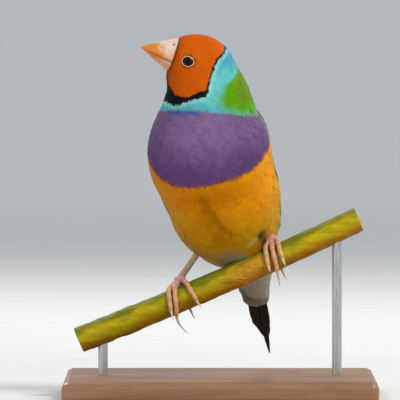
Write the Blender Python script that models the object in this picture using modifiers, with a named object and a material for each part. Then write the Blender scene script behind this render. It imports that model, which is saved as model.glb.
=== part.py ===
"""A life-size Gouldian finch, perched on a cut length of stem that a small display stand holds.

Lengths below are in millimetres and turns in degrees. X runs to the viewer's right, Y away from
the viewer and Z up, from the middle of the base's underside. The bird faces the viewer, turned a
little to the viewer's left, and looks to that side in full profile.
"""
import math

import bmesh
import bpy
import numpy as np

MM = 0.001
GAP = 0.3  # between neighbouring pieces
UP = np.array([0.0, 0.0, 1.0])

# Stance
BODY_YAW, BODY_PITCH = 22.0, 62.0
BODY_MIDDLE = np.array([0.0, 0.0, 65.5])
HEAD_YAW, HEAD_PITCH = 82.0, 12.0
HEAD_MIDDLE = np.array([-6.6, -13.5, 102.6])
TAIL_YAW, TAIL_PITCH = 12.8, 50.8
TAIL_ROOT = np.array([8.0, 14.7, 44.9])

# Forms of the body: the frame that each is set in, its middle along the frame's length, to the
# bird's left and towards its belly, and its three radii
BODY_FORMS = {
    "breast": ("body", (11.0, -1.1, 2.4), (20.0, 18.5, 17.3)),
    "belly": ("body", (-5.0, -0.4, 1.5), (20.0, 16.6, 16.3)),
    "lower": ("body", (-16.5, 0.9, -0.8), (12.5, 12.9, 11.3)),
    "shoulders": ("body", (14.0, -0.4, -4.0), (16.5, 14.8, 12.5)),
    "back": ("body", (-4.0, 0.4, -4.5), (24.0, 14.2, 12.5)),
    "rump": ("body", (-25.0, 1.6, -5.0), (14.0, 8.2, 7.0)),
    "tail_base": ("tail", (9.0, 0.0, 0.3), (18.0, 4.8, 4.2)),
    "neck": ("body", (26.0, 0.0, 0.0), (14.0, 12.5, 12.5)),
    "nape": ("body", (27.5, 4.6, -3.6), (13.0, 8.6, 9.2)),
}
HEAD_FORMS = {
    "skull": ("head", (-0.6, 0.0, -0.4), (9.9, 8.3, 9.0)),
    "face": ("head", (2.0, 0.0, -1.0), (10.5, 6.7, 7.6)),
    "throat": ("head", (1.5, 0.0, 3.5), (7.6, 6.4, 6.5)),
}
BODY_BLEND = 4.0
HEAD_BLEND = 2.0
FACE_AT, FACE_LEAN, FACE_ROUND = 8.7, 0.12, 1.5  # the flat behind the bill

# Where the body is parted, as places along it
TORSO_REAR = -29.7
NECK_LOW = 19.0
HEAD_LOW = np.array([-7.8, -13.0, 93.6])
HEAD_LOW_NORMAL = np.array([-0.24, -0.12, 0.96])

# Bill, in the head's frame: (ahead, down)
BILL_TIP = (19.0, -1.5)
CULMEN_BASE_DOWN = -6.4
GONYS_BASE_DOWN = 3.8
GAPE_BASE_DOWN = 0.9
BILL_HALF_WIDTH = 4.1
NOSTRIL_RADIUS = 0.45

# Eyes
EYE_AHEAD, EYE_DOWN = 4.4, -0.1
EYE_RADIUS = 2.3
EYE_DEPTH = 1.55  # of its middle below the cheek
LID_RADIUS, LID_THICKNESS = 1.95, 0.42

# Wing, from the wrist back, as places along the body and turns round it from the belly
WING_FRONT, WING_REAR = 18.5, -15.0
WING_LOW_TURN = 103.0
WING_TOP_TURN_FRONT, WING_TOP_TURN_REAR = 148.0, 162.0
WING_UNDER, WING_CORE = 0.6, 0.8  # height of its underside, and thickness
VANE_THICKNESS = 0.5

# Legs and perch
STEM_RADIUS = 3.8
STEM_HALF_LENGTH = 47.0
STEM_MIDDLE = np.array([0.0, 0.0, 35.5])
STEM_SLOPE = 23.4
STEM_BEND = 0.9  # rise of its ends over a straight line
TOE_RADIUS = 0.74
KNUCKLE_TURN = 24.0  # round the stem from its top
PALM_RADII = (1.7, 1.3, 1.2)
TARSUS_RADIUS = 1.0
FEET = {
    # along the stem, height over its axis, ankle, and for each toe its place along the stem at
    # the knuckle and at the claw, how far round the stem it reaches, and its claw's length
    "right": {
        "along": -10.9,
        "over": 5.9,
        "ankle": np.array([-4.9, 8.2, 47.2]),
        "toes": {
            "inner": (-9.6, -8.8, 114.0, 2.8),
            "middle": (-12.9, -15.8, 146.0, 6.6),
            "outer": (-15.2, -17.6, 112.0, 3.2),
            "hind": (-11.1, -11.7, -128.0, 4.6),
        },
    },
    "left": {
        "along": 19.6,
        "over": 5.9,
        "ankle": np.array([14.2, 9.5, 54.5]),
        "toes": {
            "inner": (17.2, 15.8, 106.0, 2.6),
            "middle": (19.3, 17.8, 142.0, 5.2),
            "outer": (21.3, 20.6, 98.0, 2.8),
            "hind": (19.5, 19.0, -128.0, 4.6),
        },
    },
}

# Stand
BASE_SIZE = (96.0, 90.0, 7.0)
BASE_CORNER = 2.0
ROD_RADIUS = 1.5
ROD_AT = 36.0

COLOURS = {
    # base colour, roughness, metallic
    "orange_mask": ((0.62, 0.13, 0.01), 0.7, 0.0),
    "turquoise": ((0.12, 0.52, 0.50), 0.7, 0.0),
    "purple": ((0.14, 0.06, 0.19), 0.7, 0.0),
    "golden_belly": ((0.68, 0.30, 0.01), 0.7, 0.0),
    "leaf_green": ((0.14, 0.32, 0.02), 0.65, 0.0),
    "tail_black": ((0.02, 0.02, 0.02), 0.6, 0.0),
    "grey_white": ((0.50, 0.50, 0.47), 0.8, 0.0),
    "bill_ivory": ((0.80, 0.58, 0.45), 0.35, 0.0),
    "bill_orange": ((0.72, 0.33, 0.08), 0.35, 0.0),
    "eye_brown": ((0.02, 0.01, 0.008), 0.08, 0.0),
    "leg_cream": ((0.58, 0.46, 0.36), 0.55, 0.0),
    "toe_pink": ((0.70, 0.40, 0.27), 0.5, 0.0),
    "claw_horn": ((0.50, 0.42, 0.28), 0.35, 0.0),
    "stem_yellow": ((0.42, 0.28, 0.02), 0.55, 0.0),
    "base_wood": ((0.30, 0.19, 0.11), 0.45, 0.0),
    "rod_steel": ((0.55, 0.55, 0.56), 0.3, 1.0),
}


def unit(v):
    return v / np.linalg.norm(v, axis=-1, keepdims=True)


def frame_axes(yaw, pitch):
    """Ahead, to the bird's left and belly-ward, for a length turned to the viewer's left."""
    y, q = math.radians(yaw), math.radians(pitch)
    level = np.array([-math.sin(y), -math.cos(y), 0.0])
    left = np.array([math.cos(y), -math.sin(y), 0.0])
    ahead = math.cos(q) * level + math.sin(q) * UP
    belly = math.sin(q) * level - math.cos(q) * UP
    return np.array([ahead, left, belly])


FRAMES = {
    "body": (frame_axes(BODY_YAW, BODY_PITCH), BODY_MIDDLE),
    "head": (frame_axes(HEAD_YAW, HEAD_PITCH), HEAD_MIDDLE),
}
TAIL_AXES = frame_axes(TAIL_YAW, TAIL_PITCH) * np.array([[-1.0], [1.0], [1.0]])
FRAMES["tail"] = (TAIL_AXES, TAIL_ROOT)


def place(frame, ahead, left, belly):
    """World points from coordinates in one of the frames."""
    axes, origin = FRAMES[frame]
    a, b, c = (np.asarray(v, float)[..., None] for v in (ahead, left, belly))
    return origin + a * axes[0] + b * axes[1] + c * axes[2]


def smooth_min(a, b, blend):
    h = np.maximum(blend - np.abs(a - b), 0.0) / blend
    return np.minimum(a, b) - h * h * blend * 0.25


def form_distance(points, frame, middle, radii):
    axes, _ = FRAMES[frame]
    q = (points - place(frame, *middle)) @ axes.T
    r = np.array(radii)
    k0 = np.linalg.norm(q / r, axis=-1)
    k1 = np.linalg.norm(q / r**2, axis=-1)
    return k0 * (k0 - 1.0) / np.maximum(k1, 1e-9)


def blended(points, forms, blend):
    total = None
    for form in forms.values():
        d = form_distance(points, *form)
        total = d if total is None else smooth_min(total, d, blend)
    return total


def surface(points):
    """About the distance of points from the bird's skin, less than nothing inside it."""
    head = blended(points, HEAD_FORMS, HEAD_BLEND)
    q = (points - HEAD_MIDDLE) @ FRAMES["head"][0].T
    flat = q[..., 0] - FACE_AT - FACE_LEAN * q[..., 2]
    head = -smooth_min(-head, -flat, FACE_ROUND)
    return smooth_min(blended(points, BODY_FORMS, BODY_BLEND), head, BODY_BLEND)


def gradient(points, step=0.05):
    parts = []
    for axis in np.eye(3):
        parts.append(surface(points + step * axis) - surface(points - step * axis))
    return np.stack(parts, -1) / (2 * step)


def height(points):
    return surface(points) / np.maximum(np.linalg.norm(gradient(points), axis=-1), 0.2)


def settle(points, lift):
    """Points moved along the skin's normal until they lie lift above it."""
    for _ in range(6):
        points = points - (height(points) - lift)[..., None] * unit(gradient(points))
    return points


def cast(origin, directions, lift=0.0, reach=40.0, steps=90):
    """Where rays from inside the bird first come to lift above its skin."""
    t = np.linspace(0.0, reach, steps)
    points = origin + t[:, None, None] * directions[None]
    outside = surface(points.reshape(-1, 3)).reshape(points.shape[:2]) > lift
    first = np.argmax(outside, axis=0)
    low, high = t[np.maximum(first - 1, 0)], t[first]
    for _ in range(18):
        middle = (low + high) / 2
        above = surface(origin + middle[:, None] * directions) > lift
        low, high = np.where(above, low, middle), np.where(above, middle, high)
    return origin + high[:, None] * directions


def spine(along):
    """The middle of the body at a place along it, which rises towards the rump and tail."""
    rise = max(0.0, -along) * 0.2
    aside = max(0.0, -15.0 - along) * 0.12
    return place("body", along, aside, -rise)


def around(count):
    turns = 2 * math.pi * np.arange(count) / count
    return np.cos(turns)[:, None], np.sin(turns)[:, None]


def body_ring(along, count, lift=0.0):
    ahead, left, belly = FRAMES["body"][0]
    c, s = around(count)
    return cast(spine(along), c * belly + s * left, lift)


def turned_ring(origin, normal, count, rise=0.0, lift=0.0):
    """A ring where rays that rise at an angle from the plane through origin meet the skin."""
    normal = unit(np.asarray(normal))
    belly = unit(FRAMES["body"][0][2] - FRAMES["body"][0][2] @ normal * normal)
    left = np.cross(belly, normal)
    left *= np.sign(left @ FRAMES["body"][0][1])
    c, s = around(count)
    level = c * belly + s * left
    q = math.radians(rise)
    return cast(origin, math.cos(q) * level + math.sin(q) * normal, lift)


def on_body(along, turn, side, lift=0.0):
    """A point on the skin, a turn round from the belly's midline towards one side."""
    _, left, belly = FRAMES["body"][0]
    q = math.radians(turn)
    direction = math.cos(q) * belly + side * math.sin(q) * left
    return cast(spine(along), direction[None], lift)[0]


def loft_faces(count, rings):
    faces = []
    for k in range(rings - 1):
        for i in range(count):
            j = (i + 1) % count
            a, b = k * count + i, k * count + j
            faces.append((a, b, b + count))
            faces.append((a, b + count, a + count))
    return faces


def loft(rings, end_point=None):
    """Points and faces of a closed skin over rings of equal count, with flat or pointed ends."""
    count = len(rings[0])
    points = np.concatenate(rings)
    faces = loft_faces(count, len(rings))
    faces.append(tuple(reversed(range(count))))
    last = (len(rings) - 1) * count
    if end_point is None:
        faces.append(tuple(range(last, last + count)))
    else:
        points = np.concatenate([points, [end_point]])
        tip = len(points) - 1
        faces += [(last + i, last + (i + 1) % count, tip) for i in range(count)]
    return points, faces


def path_frames(path, up):
    """Tangent, sideways and upward directions along a path."""
    path = np.asarray(path)
    tangent = unit(np.gradient(path, axis=0))
    side = unit(np.cross(tangent, up))
    return tangent, side, np.cross(side, tangent)


def tube(path, wide, tall, sides, up, end_point=None, swell=None):
    """A closed loft of ovals along a path. swell gives a factor for each ring and turn."""
    path = np.asarray(path)
    _, side, top = path_frames(path, up)
    c, s = around(sides)
    rings = []
    for k, point in enumerate(path):
        factor = 1.0 if swell is None else swell[k][:, None]
        rings.append(point + factor * (c * top[k] * tall[k] + s * side[k] * wide[k]))
    return loft(rings, end_point)


def vane(path, normals, half_widths, thickness, tilt):
    """A feather's flat blade along a path. Both faces are split into triangles alike."""
    tangent = unit(np.gradient(path, axis=0))
    across = unit(np.cross(normals, tangent))
    rings = []
    for k in range(len(path)):
        reach = half_widths[k] * (across[k] + tilt[k] * normals[k])
        depth = normals[k] * thickness[k] / 2
        left, right = path[k] - reach, path[k] + reach
        rings.append(np.array([left + depth, right + depth, right - depth, left - depth]))
    points = np.concatenate(rings)
    faces = [(3, 2, 1), (3, 1, 0)]
    for k in range(len(path) - 1):
        a = 4 * k
        b = a + 4
        faces += [(a, a + 1, b + 1), (a, b + 1, b)]
        faces += [(a + 3, b + 2, a + 2), (a + 3, b + 3, b + 2)]
        faces += [(a + 1, a + 2, b + 2), (a + 1, b + 2, b + 1)]
        faces += [(a, b, b + 3), (a, b + 3, a + 3)]
    last = 4 * (len(path) - 1)
    faces += [(last, last + 1, last + 2), (last, last + 2, last + 3)]
    return points, faces


def slab(outer, inner):
    """A closed sheet between two grids of points."""
    rows, columns = outer.shape[:2]
    points = np.concatenate([outer.reshape(-1, 3), inner.reshape(-1, 3)])
    under = rows * columns
    faces = []
    for i in range(rows - 1):
        for j in range(columns - 1):
            a = i * columns + j
            b, c, d = a + 1, a + columns + 1, a + columns
            faces += [(a, b, c), (a, c, d)]
            faces += [(under + a, under + c, under + b), (under + a, under + d, under + c)]
    edge = [j for j in range(columns)]
    edge += [i * columns + columns - 1 for i in range(1, rows)]
    edge += [(rows - 1) * columns + j for j in range(columns - 2, -1, -1)]
    edge += [i * columns for i in range(rows - 2, 0, -1)]
    for a, b in zip(edge, edge[1:] + edge[:1]):
        faces += [(a, under + b, b), (a, under + a, under + b)]
    return points, faces


def clear_scene():
    for obj in list(bpy.data.objects):
        bpy.data.objects.remove(obj, do_unlink=True)


def new_collection(name):
    made = bpy.data.collections.new(name)
    bpy.context.scene.collection.children.link(made)
    return made


clear_scene()
PARTS = new_collection("gouldian_finch")
CUTTERS = new_collection("cutters")


def new_empty(name):
    empty = bpy.data.objects.new(name, None)
    PARTS.objects.link(empty)
    return empty


BIRD = new_empty("bird")
STAND = new_empty("display_stand")


def material(name):
    made = bpy.data.materials.get(name)
    if made:
        return made
    colour, roughness, metallic = COLOURS[name]
    made = bpy.data.materials.new(name)
    made.use_nodes = True
    shader = made.node_tree.nodes["Principled BSDF"]
    shader.inputs["Base Color"].default_value = (*colour, 1.0)
    shader.inputs["Roughness"].default_value = roughness
    shader.inputs["Metallic"].default_value = metallic
    made.diffuse_color = (*colour, 1.0)
    return made


def piece(name, shape, material_name, parent=None, collection=None):
    """An object from millimetre points and faces, its faces turned to point out."""
    points, faces = shape
    mesh = bpy.data.meshes.new(name)
    mesh.from_pydata((np.asarray(points) * MM).tolist(), [], [list(f) for f in faces])
    work = bmesh.new()
    work.from_mesh(mesh)
    if work.calc_volume(signed=True) < 0:
        bmesh.ops.reverse_faces(work, faces=work.faces)
    work.to_mesh(mesh)
    work.free()
    mesh.shade_smooth()
    mesh.set_sharp_from_angle(angle=math.radians(40))
    mesh.materials.append(material(material_name))
    obj = bpy.data.objects.new(name, mesh)
    (collection or PARTS).objects.link(obj)
    obj.parent = parent or BIRD
    return obj


def keep_largest(mesh):
    """Only the surface that holds the most, without sealed hollows and scraps."""
    work = bmesh.new()
    work.from_mesh(mesh)
    left = set(work.faces)
    found = []
    while left:
        island = {left.pop()}
        front = list(island)
        while front:
            for edge in front.pop().edges:
                near = [f for f in edge.link_faces if f in left]
                left.difference_update(near)
                island.update(near)
                front += near
        found.append(island)

    def held(island):
        total = 0.0
        for face in island:
            first = face.verts[0].co
            for a, b in zip(face.verts[1:-1], face.verts[2:]):
                total += first.dot(a.co.cross(b.co))
        return abs(total)

    found.sort(key=held)
    scraps = [face for island in found[:-1] for face in island]
    bmesh.ops.delete(work, geom=scraps, context="FACES")
    work.to_mesh(mesh)
    work.free()


def combine(obj, others, operation, solver="EXACT"):
    """Joins the other objects to obj, or cuts them from it, and removes them."""
    group = new_collection("operands")
    for other in others:
        for home in list(other.users_collection):
            home.objects.unlink(other)
        group.objects.link(other)
    modifier = obj.modifiers.new(operation.lower(), "BOOLEAN")
    modifier.operation = operation
    modifier.operand_type = "COLLECTION"
    modifier.collection = group
    modifier.solver = solver
    bpy.context.view_layer.update()
    graph = bpy.context.evaluated_depsgraph_get()
    done = bpy.data.meshes.new_from_object(obj.evaluated_get(graph))
    obj.modifiers.clear()
    before = obj.data
    obj.data = done
    bpy.data.meshes.remove(before)
    keep_largest(obj.data)
    for other in others:
        bpy.data.objects.remove(other, do_unlink=True)
    bpy.data.collections.remove(group)
    obj.data.name = obj.name


def ball(name, middle, radius, segments=20, rings=14, stretch=(1.0, 1.0, 1.0), collection=None):
    """A sphere, or an oval stretched along X, Y and Z."""
    mesh = bpy.data.meshes.new(name)
    work = bmesh.new()
    bmesh.ops.create_uvsphere(work, u_segments=segments, v_segments=rings, radius=radius * MM)
    for vert in work.verts:
        vert.co = [vert.co[i] * stretch[i] + middle[i] * MM for i in range(3)]
    work.to_mesh(mesh)
    work.free()
    mesh.shade_smooth()
    obj = bpy.data.objects.new(name, mesh)
    (collection or CUTTERS).objects.link(obj)
    return obj


# Body


def torso_rings(lift=0.0, rear=TORSO_REAR, front=NECK_LOW, count=32):
    stations = np.linspace(rear, front, 17)
    return [body_ring(along, count, lift) for along in stations]


def make_torso():
    return piece("torso", loft(torso_rings()), "golden_belly")


def neck_planes():
    """Middles and normals of the rings from the shoulders to the head, ends included."""
    low = spine(NECK_LOW + GAP)
    low_normal = FRAMES["body"][0][0]
    high_normal = unit(HEAD_LOW_NORMAL)
    high = HEAD_LOW - GAP * high_normal
    planes = []
    for t in np.linspace(0.0, 1.0, 4):
        planes.append((low + t * (high - low), unit(low_normal + t * (high_normal - low_normal))))
    return planes


def make_neck():
    rings = [turned_ring(middle, normal, 32) for middle, normal in neck_planes()]
    return piece("neck", loft(rings), "turquoise")


def head_rings(count=32, lift=0.0):
    normal = unit(HEAD_LOW_NORMAL)
    rings = []
    for rise in (0.0, 2.4, 4.8, 7.0):
        rings.append(turned_ring(HEAD_LOW + rise * normal, normal, count, 0.0, lift))
    middle = HEAD_LOW + 7.0 * normal
    for angle in (14.0, 28.0, 41.0, 54.0, 66.0, 78.0):
        rings.append(turned_ring(middle, normal, count, angle, lift))
    crown = cast(middle, normal[None], lift)[0]
    return rings, crown


def head_at(ahead, left, down):
    return place("head", ahead, left, down)


def eye_place(side):
    """The middle of an eyeball, and the way that it looks."""
    inside = head_at(EYE_AHEAD, 0.0, EYE_DOWN)
    cheek = cast(inside, (side * FRAMES["head"][0][1])[None])[0]
    outward = unit(gradient(cheek[None]))[0]
    return cheek - EYE_DEPTH * outward, outward


def lid_ring(name, middle, outward):
    """The bare ring of the lids, standing proud of the cheek round the eye."""
    side = unit(np.cross(outward, UP))
    top = np.cross(side, outward)
    centre = middle + math.sqrt(EYE_RADIUS**2 - LID_RADIUS**2) * outward + 0.35 * outward
    count, sides = 18, 6
    c, s = around(count)
    spokes = c * side + s * top
    section = [(math.cos(q), math.sin(q)) for q in np.arange(sides) * 2 * math.pi / sides]
    rings = [centre + (LID_RADIUS + LID_THICKNESS * x) * spokes + LID_THICKNESS * z * outward
             for x, z in section]
    points = np.concatenate(rings)
    faces = []
    for k in range(sides):
        for i in range(count):
            j = (i + 1) % count
            a, b = k * count, (k + 1) % sides * count
            faces.append((a + i, a + j, b + j, b + i))
    return piece(name, (points, faces), "orange_mask", collection=CUTTERS)


def make_head():
    rings, crown = head_rings()
    head = piece("head", loft(rings, crown), "orange_mask")
    sockets = []
    lids = []
    for name, side in (("left", 1), ("right", -1)):
        middle, outward = eye_place(side)
        lids.append(lid_ring("lid_" + name, middle, outward))
        sockets.append(ball("socket_" + name, middle, EYE_RADIUS + GAP, 16, 10))
        eye = ball("eye_" + name, middle, EYE_RADIUS, 16, 12, collection=PARTS)
        eye.data.materials.append(material("eye_brown"))
        eye.parent = BIRD
    combine(head, lids, "UNION")
    combine(head, sockets, "DIFFERENCE")
    return head


def mandible(name, upper, material_name):
    """Half of the bill: rings from the flat at the face to the tip, one side of the mouth's line."""
    tip_ahead, tip_down = BILL_TIP
    if not upper:
        tip_ahead -= 0.5
    half_gap = GAP / 2
    turns = np.linspace(0.0, math.pi, 9)
    rings = []
    for t in np.array([0.0, 0.14, 0.3, 0.46, 0.62, 0.77, 0.89, 0.965]):
        mouth = GAPE_BASE_DOWN + t * (tip_down - GAPE_BASE_DOWN)
        crest_base = CULMEN_BASE_DOWN if upper else GONYS_BASE_DOWN
        bulge = (0.9 if upper else 0.5) * t * (1 - t) * (-1 if upper else 1)
        crest = crest_base + t * (tip_down - crest_base) + bulge
        mouth += -half_gap if upper else half_gap
        width = BILL_HALF_WIDTH * (1 - t) * (1 + 0.35 * t) * (1.0 if upper else 0.94)
        left = width * np.cos(turns)
        down = mouth + (crest - mouth) * np.sin(turns) ** 0.9
        base = FACE_AT + FACE_LEAN * down + GAP
        ahead = base + t * (tip_ahead - base)
        rings.append(place("head", ahead, left, down))
    tip = head_at(tip_ahead, 0.0, tip_down + (-half_gap if upper else half_gap))
    return piece(name, loft(rings, tip), material_name)


def make_bill():
    upper = mandible("bill_upper", True, "bill_ivory")
    mandible("bill_lower", False, "bill_orange")
    pits = []
    for side in (1, -1):
        at = head_at(FACE_AT + 0.3, side * 2.75, -4.3)
        pits.append(ball("nostril", at, NOSTRIL_RADIUS, 10, 8))
    combine(upper, pits, "DIFFERENCE")


# Feathers

STATIONS = np.array([0.0, 0.3, 0.58, 0.8, 0.93, 1.0])
ROUND_TIP = np.array([0.6, 0.92, 1.0, 0.86, 0.56, 0.16])
SHARP_TIP = np.array([0.6, 0.95, 1.0, 0.74, 0.38, 0.1])
BLADE = np.array([0.9, 1.0, 1.0, 1.0, 0.8, 0.5]) * VANE_THICKNESS


def laid_vane(name, root, tip, width, lift, tilt, outline=ROUND_TIP):
    """A feather that lies along the bird from a root in the wing's core and rises to its tip."""
    straight = root + STATIONS[:, None] * (tip - root)
    path = settle(straight, ROOT_LIFT + (lift - ROOT_LIFT) * STATIONS ** 0.85)
    normals = unit(gradient(path))
    tilts = tilt * np.clip(STATIONS / 0.3, 0.0, 1.0)
    shape = vane(path, normals, outline * width / 2, BLADE, tilts)
    return piece(name, shape, "leaf_green", collection=CUTTERS)


# Rows of wing feathers: how many, then from first to last the root and tip as (along, turn), and
# then their width and the tip's height over the skin, for the first and for the last
WING_ROWS = {
    "primary": (5, (-3.0, 108.0), (-8.0, 128.0), (-45.0, 120.0), (-30.0, 150.0), 2.6, 1.2, 1.4),
    "secondary": (3, (-3.0, 129.0), (-4.0, 146.0), (-27.0, 146.0), (-20.0, 158.0), 4.0, 1.4, 1.6),
    "tertial": (3, (1.0, 146.0), (3.0, 156.0), (-26.0, 161.0), (-13.0, 165.0), 5.6, 2.4, 2.8),
    "primary_covert": (2, (7.0, 108.0), (5.0, 118.0), (-12.5, 109.0), (-11.0, 119.0), 3.6, 1.5, 1.6),
    "greater_covert": (5, (5.0, 115.0), (9.0, 153.0), (-8.0, 122.0), (-5.0, 160.0), 3.7, 1.9, 2.2),
    "median_covert": (4, (12.0, 112.0), (13.0, 148.0), (0.5, 114.0), (3.5, 154.0), 4.8, 1.9, 2.1),
    "alula": (2, (11.5, 107.0), (12.0, 112.0), (-1.0, 105.0), (-3.0, 110.0), 2.6, 1.4, 1.7),
}
VANE_TUCK = 1.05  # how far each vane's inner edge dips under its neighbour
ROOT_LIFT = 1.0


def wing_core(side):
    outer, inner = [], []
    for along in np.linspace(WING_FRONT, WING_REAR, 8):
        t = (WING_FRONT - along) / (WING_FRONT - WING_REAR)
        top = WING_TOP_TURN_FRONT + t * (WING_TOP_TURN_REAR - WING_TOP_TURN_FRONT)
        pinch = 10.0 * (1 - t) ** 3
        row_outer, row_inner = [], []
        for u in np.linspace(0.0, 1.0, 6):
            turn = WING_LOW_TURN + pinch + u * (top - WING_LOW_TURN - 2 * pinch)
            skin = on_body(along, turn, side)[None]
            thick = WING_CORE * (0.55 + 0.45 * math.sin(math.pi * u))
            row_inner.append(settle(skin, WING_UNDER)[0])
            row_outer.append(settle(skin, WING_UNDER + thick)[0])
        outer.append(row_outer)
        inner.append(row_inner)
    return slab(np.array(outer), np.array(inner))


def make_wing(name, side):
    wing = piece(name, wing_core(side), "leaf_green")
    vanes = []
    for row, (count, root0, root1, tip0, tip1, width, lift0, lift1) in WING_ROWS.items():
        for k in range(count):
            t = k / (count - 1)
            root = [root0[i] + t * (root1[i] - root0[i]) for i in range(2)]
            tip = [tip0[i] + t * (tip1[i] - tip0[i]) for i in range(2)]
            if row == "primary":
                tip[0] -= 3.0 * math.sin(math.pi * min(1.0, 1.6 * t))
            root_point = on_body(root[0], root[1], side)
            tip_point = on_body(tip[0], tip[1], side)
            outline = SHARP_TIP if row in ("primary", "tertial") else ROUND_TIP
            lift = lift0 + t * (lift1 - lift0)
            vanes.append(laid_vane(f"{row}_{k}", root_point, tip_point, width, lift,
                                   -side * VANE_TUCK / width, outline))
    combine(wing, vanes, "UNION")
    return wing


# Tail, seen from its root: how far each pair reaches, how far aside its root and tip lie, and
# its place in the stack from the upper side down
TAIL_PAIRS = (
    (44.0, 0.8, 0.7, -1.5),
    (36.0, 1.1, 1.2, -0.7),
    (34.0, 1.3, 1.7, 0.1),
    (32.0, 1.5, 2.2, 0.9),
    (29.5, 1.7, 2.7, 1.7),
)
TAIL_FEATHER_WIDTH = 3.0
TAIL_CORE_END = 22.0
CORE_RINGS = (7.0, 10.0, 13.5, 17.0, 20.0)


def tail_ring(distance, count, lift=0.0):
    axes, _ = FRAMES["tail"]
    c, s = around(count)
    return cast(place("tail", distance, 0.0, 0.3), c * axes[2] + s * axes[1], lift)


def tail_vane(name, start, end, width, outline, thickness=VANE_THICKNESS):
    """A feather that lies straight along the tail, from start to end in the tail's frame."""
    start, end = np.array(start), np.array(end)
    local = start + STATIONS[:, None] * (end - start)
    path = place("tail", local[:, 0], local[:, 1], local[:, 2])
    normals = np.tile(-FRAMES["tail"][0][2], (len(path), 1))
    blade = BLADE * thickness / VANE_THICKNESS
    shape = vane(path, normals, outline * width / 2, blade, np.zeros(len(path)))
    return piece(name, shape, "tail_black", collection=CUTTERS)


def make_tail():
    rings = [body_ring(TORSO_REAR - GAP, 24)]
    rings += [tail_ring(distance, 24) for distance in CORE_RINGS]
    tail = piece("tail", loft(rings, place("tail", TAIL_CORE_END, 0.0, 0.3)), "tail_black")
    vanes = []
    for k, (reach, root_aside, tip_aside, depth) in enumerate(TAIL_PAIRS):
        outline = SHARP_TIP if k == 0 else ROUND_TIP
        for side in (1, -1):
            root = (10.0, side * root_aside, depth + 0.06 * side)
            tip = (reach, side * tip_aside, depth + 0.06 * side)
            vanes.append(tail_vane(f"rectrix_{k}_{side}", root, tip, TAIL_FEATHER_WIDTH, outline))
    for k, aside in enumerate((-3.0, -1.0, 1.0, 3.0)):
        far = 20.5 - 1.2 * abs(aside)
        above = (7.0, aside * 0.7, -3.3 - 0.1 * k)
        vanes.append(tail_vane(f"over_{k}", above, (far - 3.0, aside * 0.8, -3.4 - 0.4 * (k % 2)),
                               3.6, ROUND_TIP))
        below = (7.0, aside * 0.9, 3.9)
        vanes.append(tail_vane(f"under_{k}", below, (far + 1.5, aside, 4.1 + 0.7 * (k % 2)), 5.0,
                               ROUND_TIP))
    combine(tail, vanes, "UNION")
    return tail


# Legs


def stem_axes():
    q = math.radians(STEM_SLOPE)
    along = np.array([math.cos(q), 0.0, math.sin(q)])
    over = np.array([-math.sin(q), 0.0, math.cos(q)])
    return along, over


def stem_point(along, turn=0.0, radius=0.0):
    """A point by its place along the stem and its turn round it, from the top to the viewer."""
    axis, over = stem_axes()
    bend = STEM_BEND * (along / STEM_HALF_LENGTH) ** 2
    q = math.radians(turn)
    return (STEM_MIDDLE + along * axis + (bend + radius * math.cos(q)) * over
            - radius * math.sin(q) * np.array([0.0, 1.0, 0.0]))


def stem_radius(along):
    """The stem's radius, with two old leaf joints."""
    joints = 0.0
    for middle, size in ((7.5, 0.35), (-31.0, 0.3)):
        joints += size * math.exp(-((along - middle) / 2.2) ** 2)
    return STEM_RADIUS * (1.0 - 0.0012 * along) + joints - 0.15


def stem_shape(extra=0.0, sides=16):
    stations = np.linspace(-STEM_HALF_LENGTH, STEM_HALF_LENGTH, 23)
    path = np.array([stem_point(along) for along in stations])
    radii = np.array([stem_radius(along) + extra for along in stations])
    return tube(path, radii, radii * 0.97, sides, np.array([0.0, 1.0, 0.0]))


def toe_path(spec, count=9):
    """From the knuckle over the stem and round it."""
    knuckle, end, reach, _ = spec
    way = math.copysign(1.0, reach)
    radius = STEM_RADIUS + TOE_RADIUS + GAP + 0.1
    points = []
    for t in np.linspace(0.0, 1.0, count):
        turn = way * (KNUCKLE_TURN + t * (abs(reach) - KNUCKLE_TURN))
        points.append(stem_point(knuckle + t * (end - knuckle), turn, radius))
    return np.array(points)


def toe_root(foot, spec):
    """The short stretch from the ball of the foot to the face that the toe starts from."""
    path = toe_path(spec)
    start_way = unit(path[1] - path[0])
    end = path[0] - GAP * start_way
    points = np.array([hub_place(foot), (hub_place(foot) + end) / 2 - 0.5 * start_way,
                       end - 0.5 * start_way, end])
    radii = TOE_RADIUS * np.array([1.0, 1.0, 1.0, 1.0])
    shape = tube(points, radii, radii * 0.94, 8, np.array([1.0, 0.0, 0.0]))
    return piece("toe_root", shape, "leg_cream", collection=CUTTERS)


def hub_place(foot):
    return stem_point(foot["along"], 0.0, foot["over"])


def palm(foot):
    """The ball of the foot, widest along the stem."""
    axis, over = stem_axes()
    obj = ball("palm", (0.0, 0.0, 0.0), 1.0, 12, 8, stretch=PALM_RADII)
    turn = np.array([axis, (0.0, 1.0, 0.0), over])
    hub = hub_place(foot)
    for vert in obj.data.vertices:
        vert.co = (np.array(vert.co) @ turn + hub * MM).tolist()
    return obj


def make_toe(side, toe, spec):
    path = toe_path(spec)
    count = len(path)
    taper = np.linspace(1.0, 0.82, count)
    pads = 1.0 + 0.07 * np.cos(np.arange(count) * math.pi)
    radii = TOE_RADIUS * taper * pads
    up = np.array([1.0, 0.0, 0.0])
    made = piece(f"toe_{toe}_{side}", tube(path, radii, radii * 0.94, 8, up), "toe_pink")
    make_claw(side, toe, spec, path, radii[-1])
    return made


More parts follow.
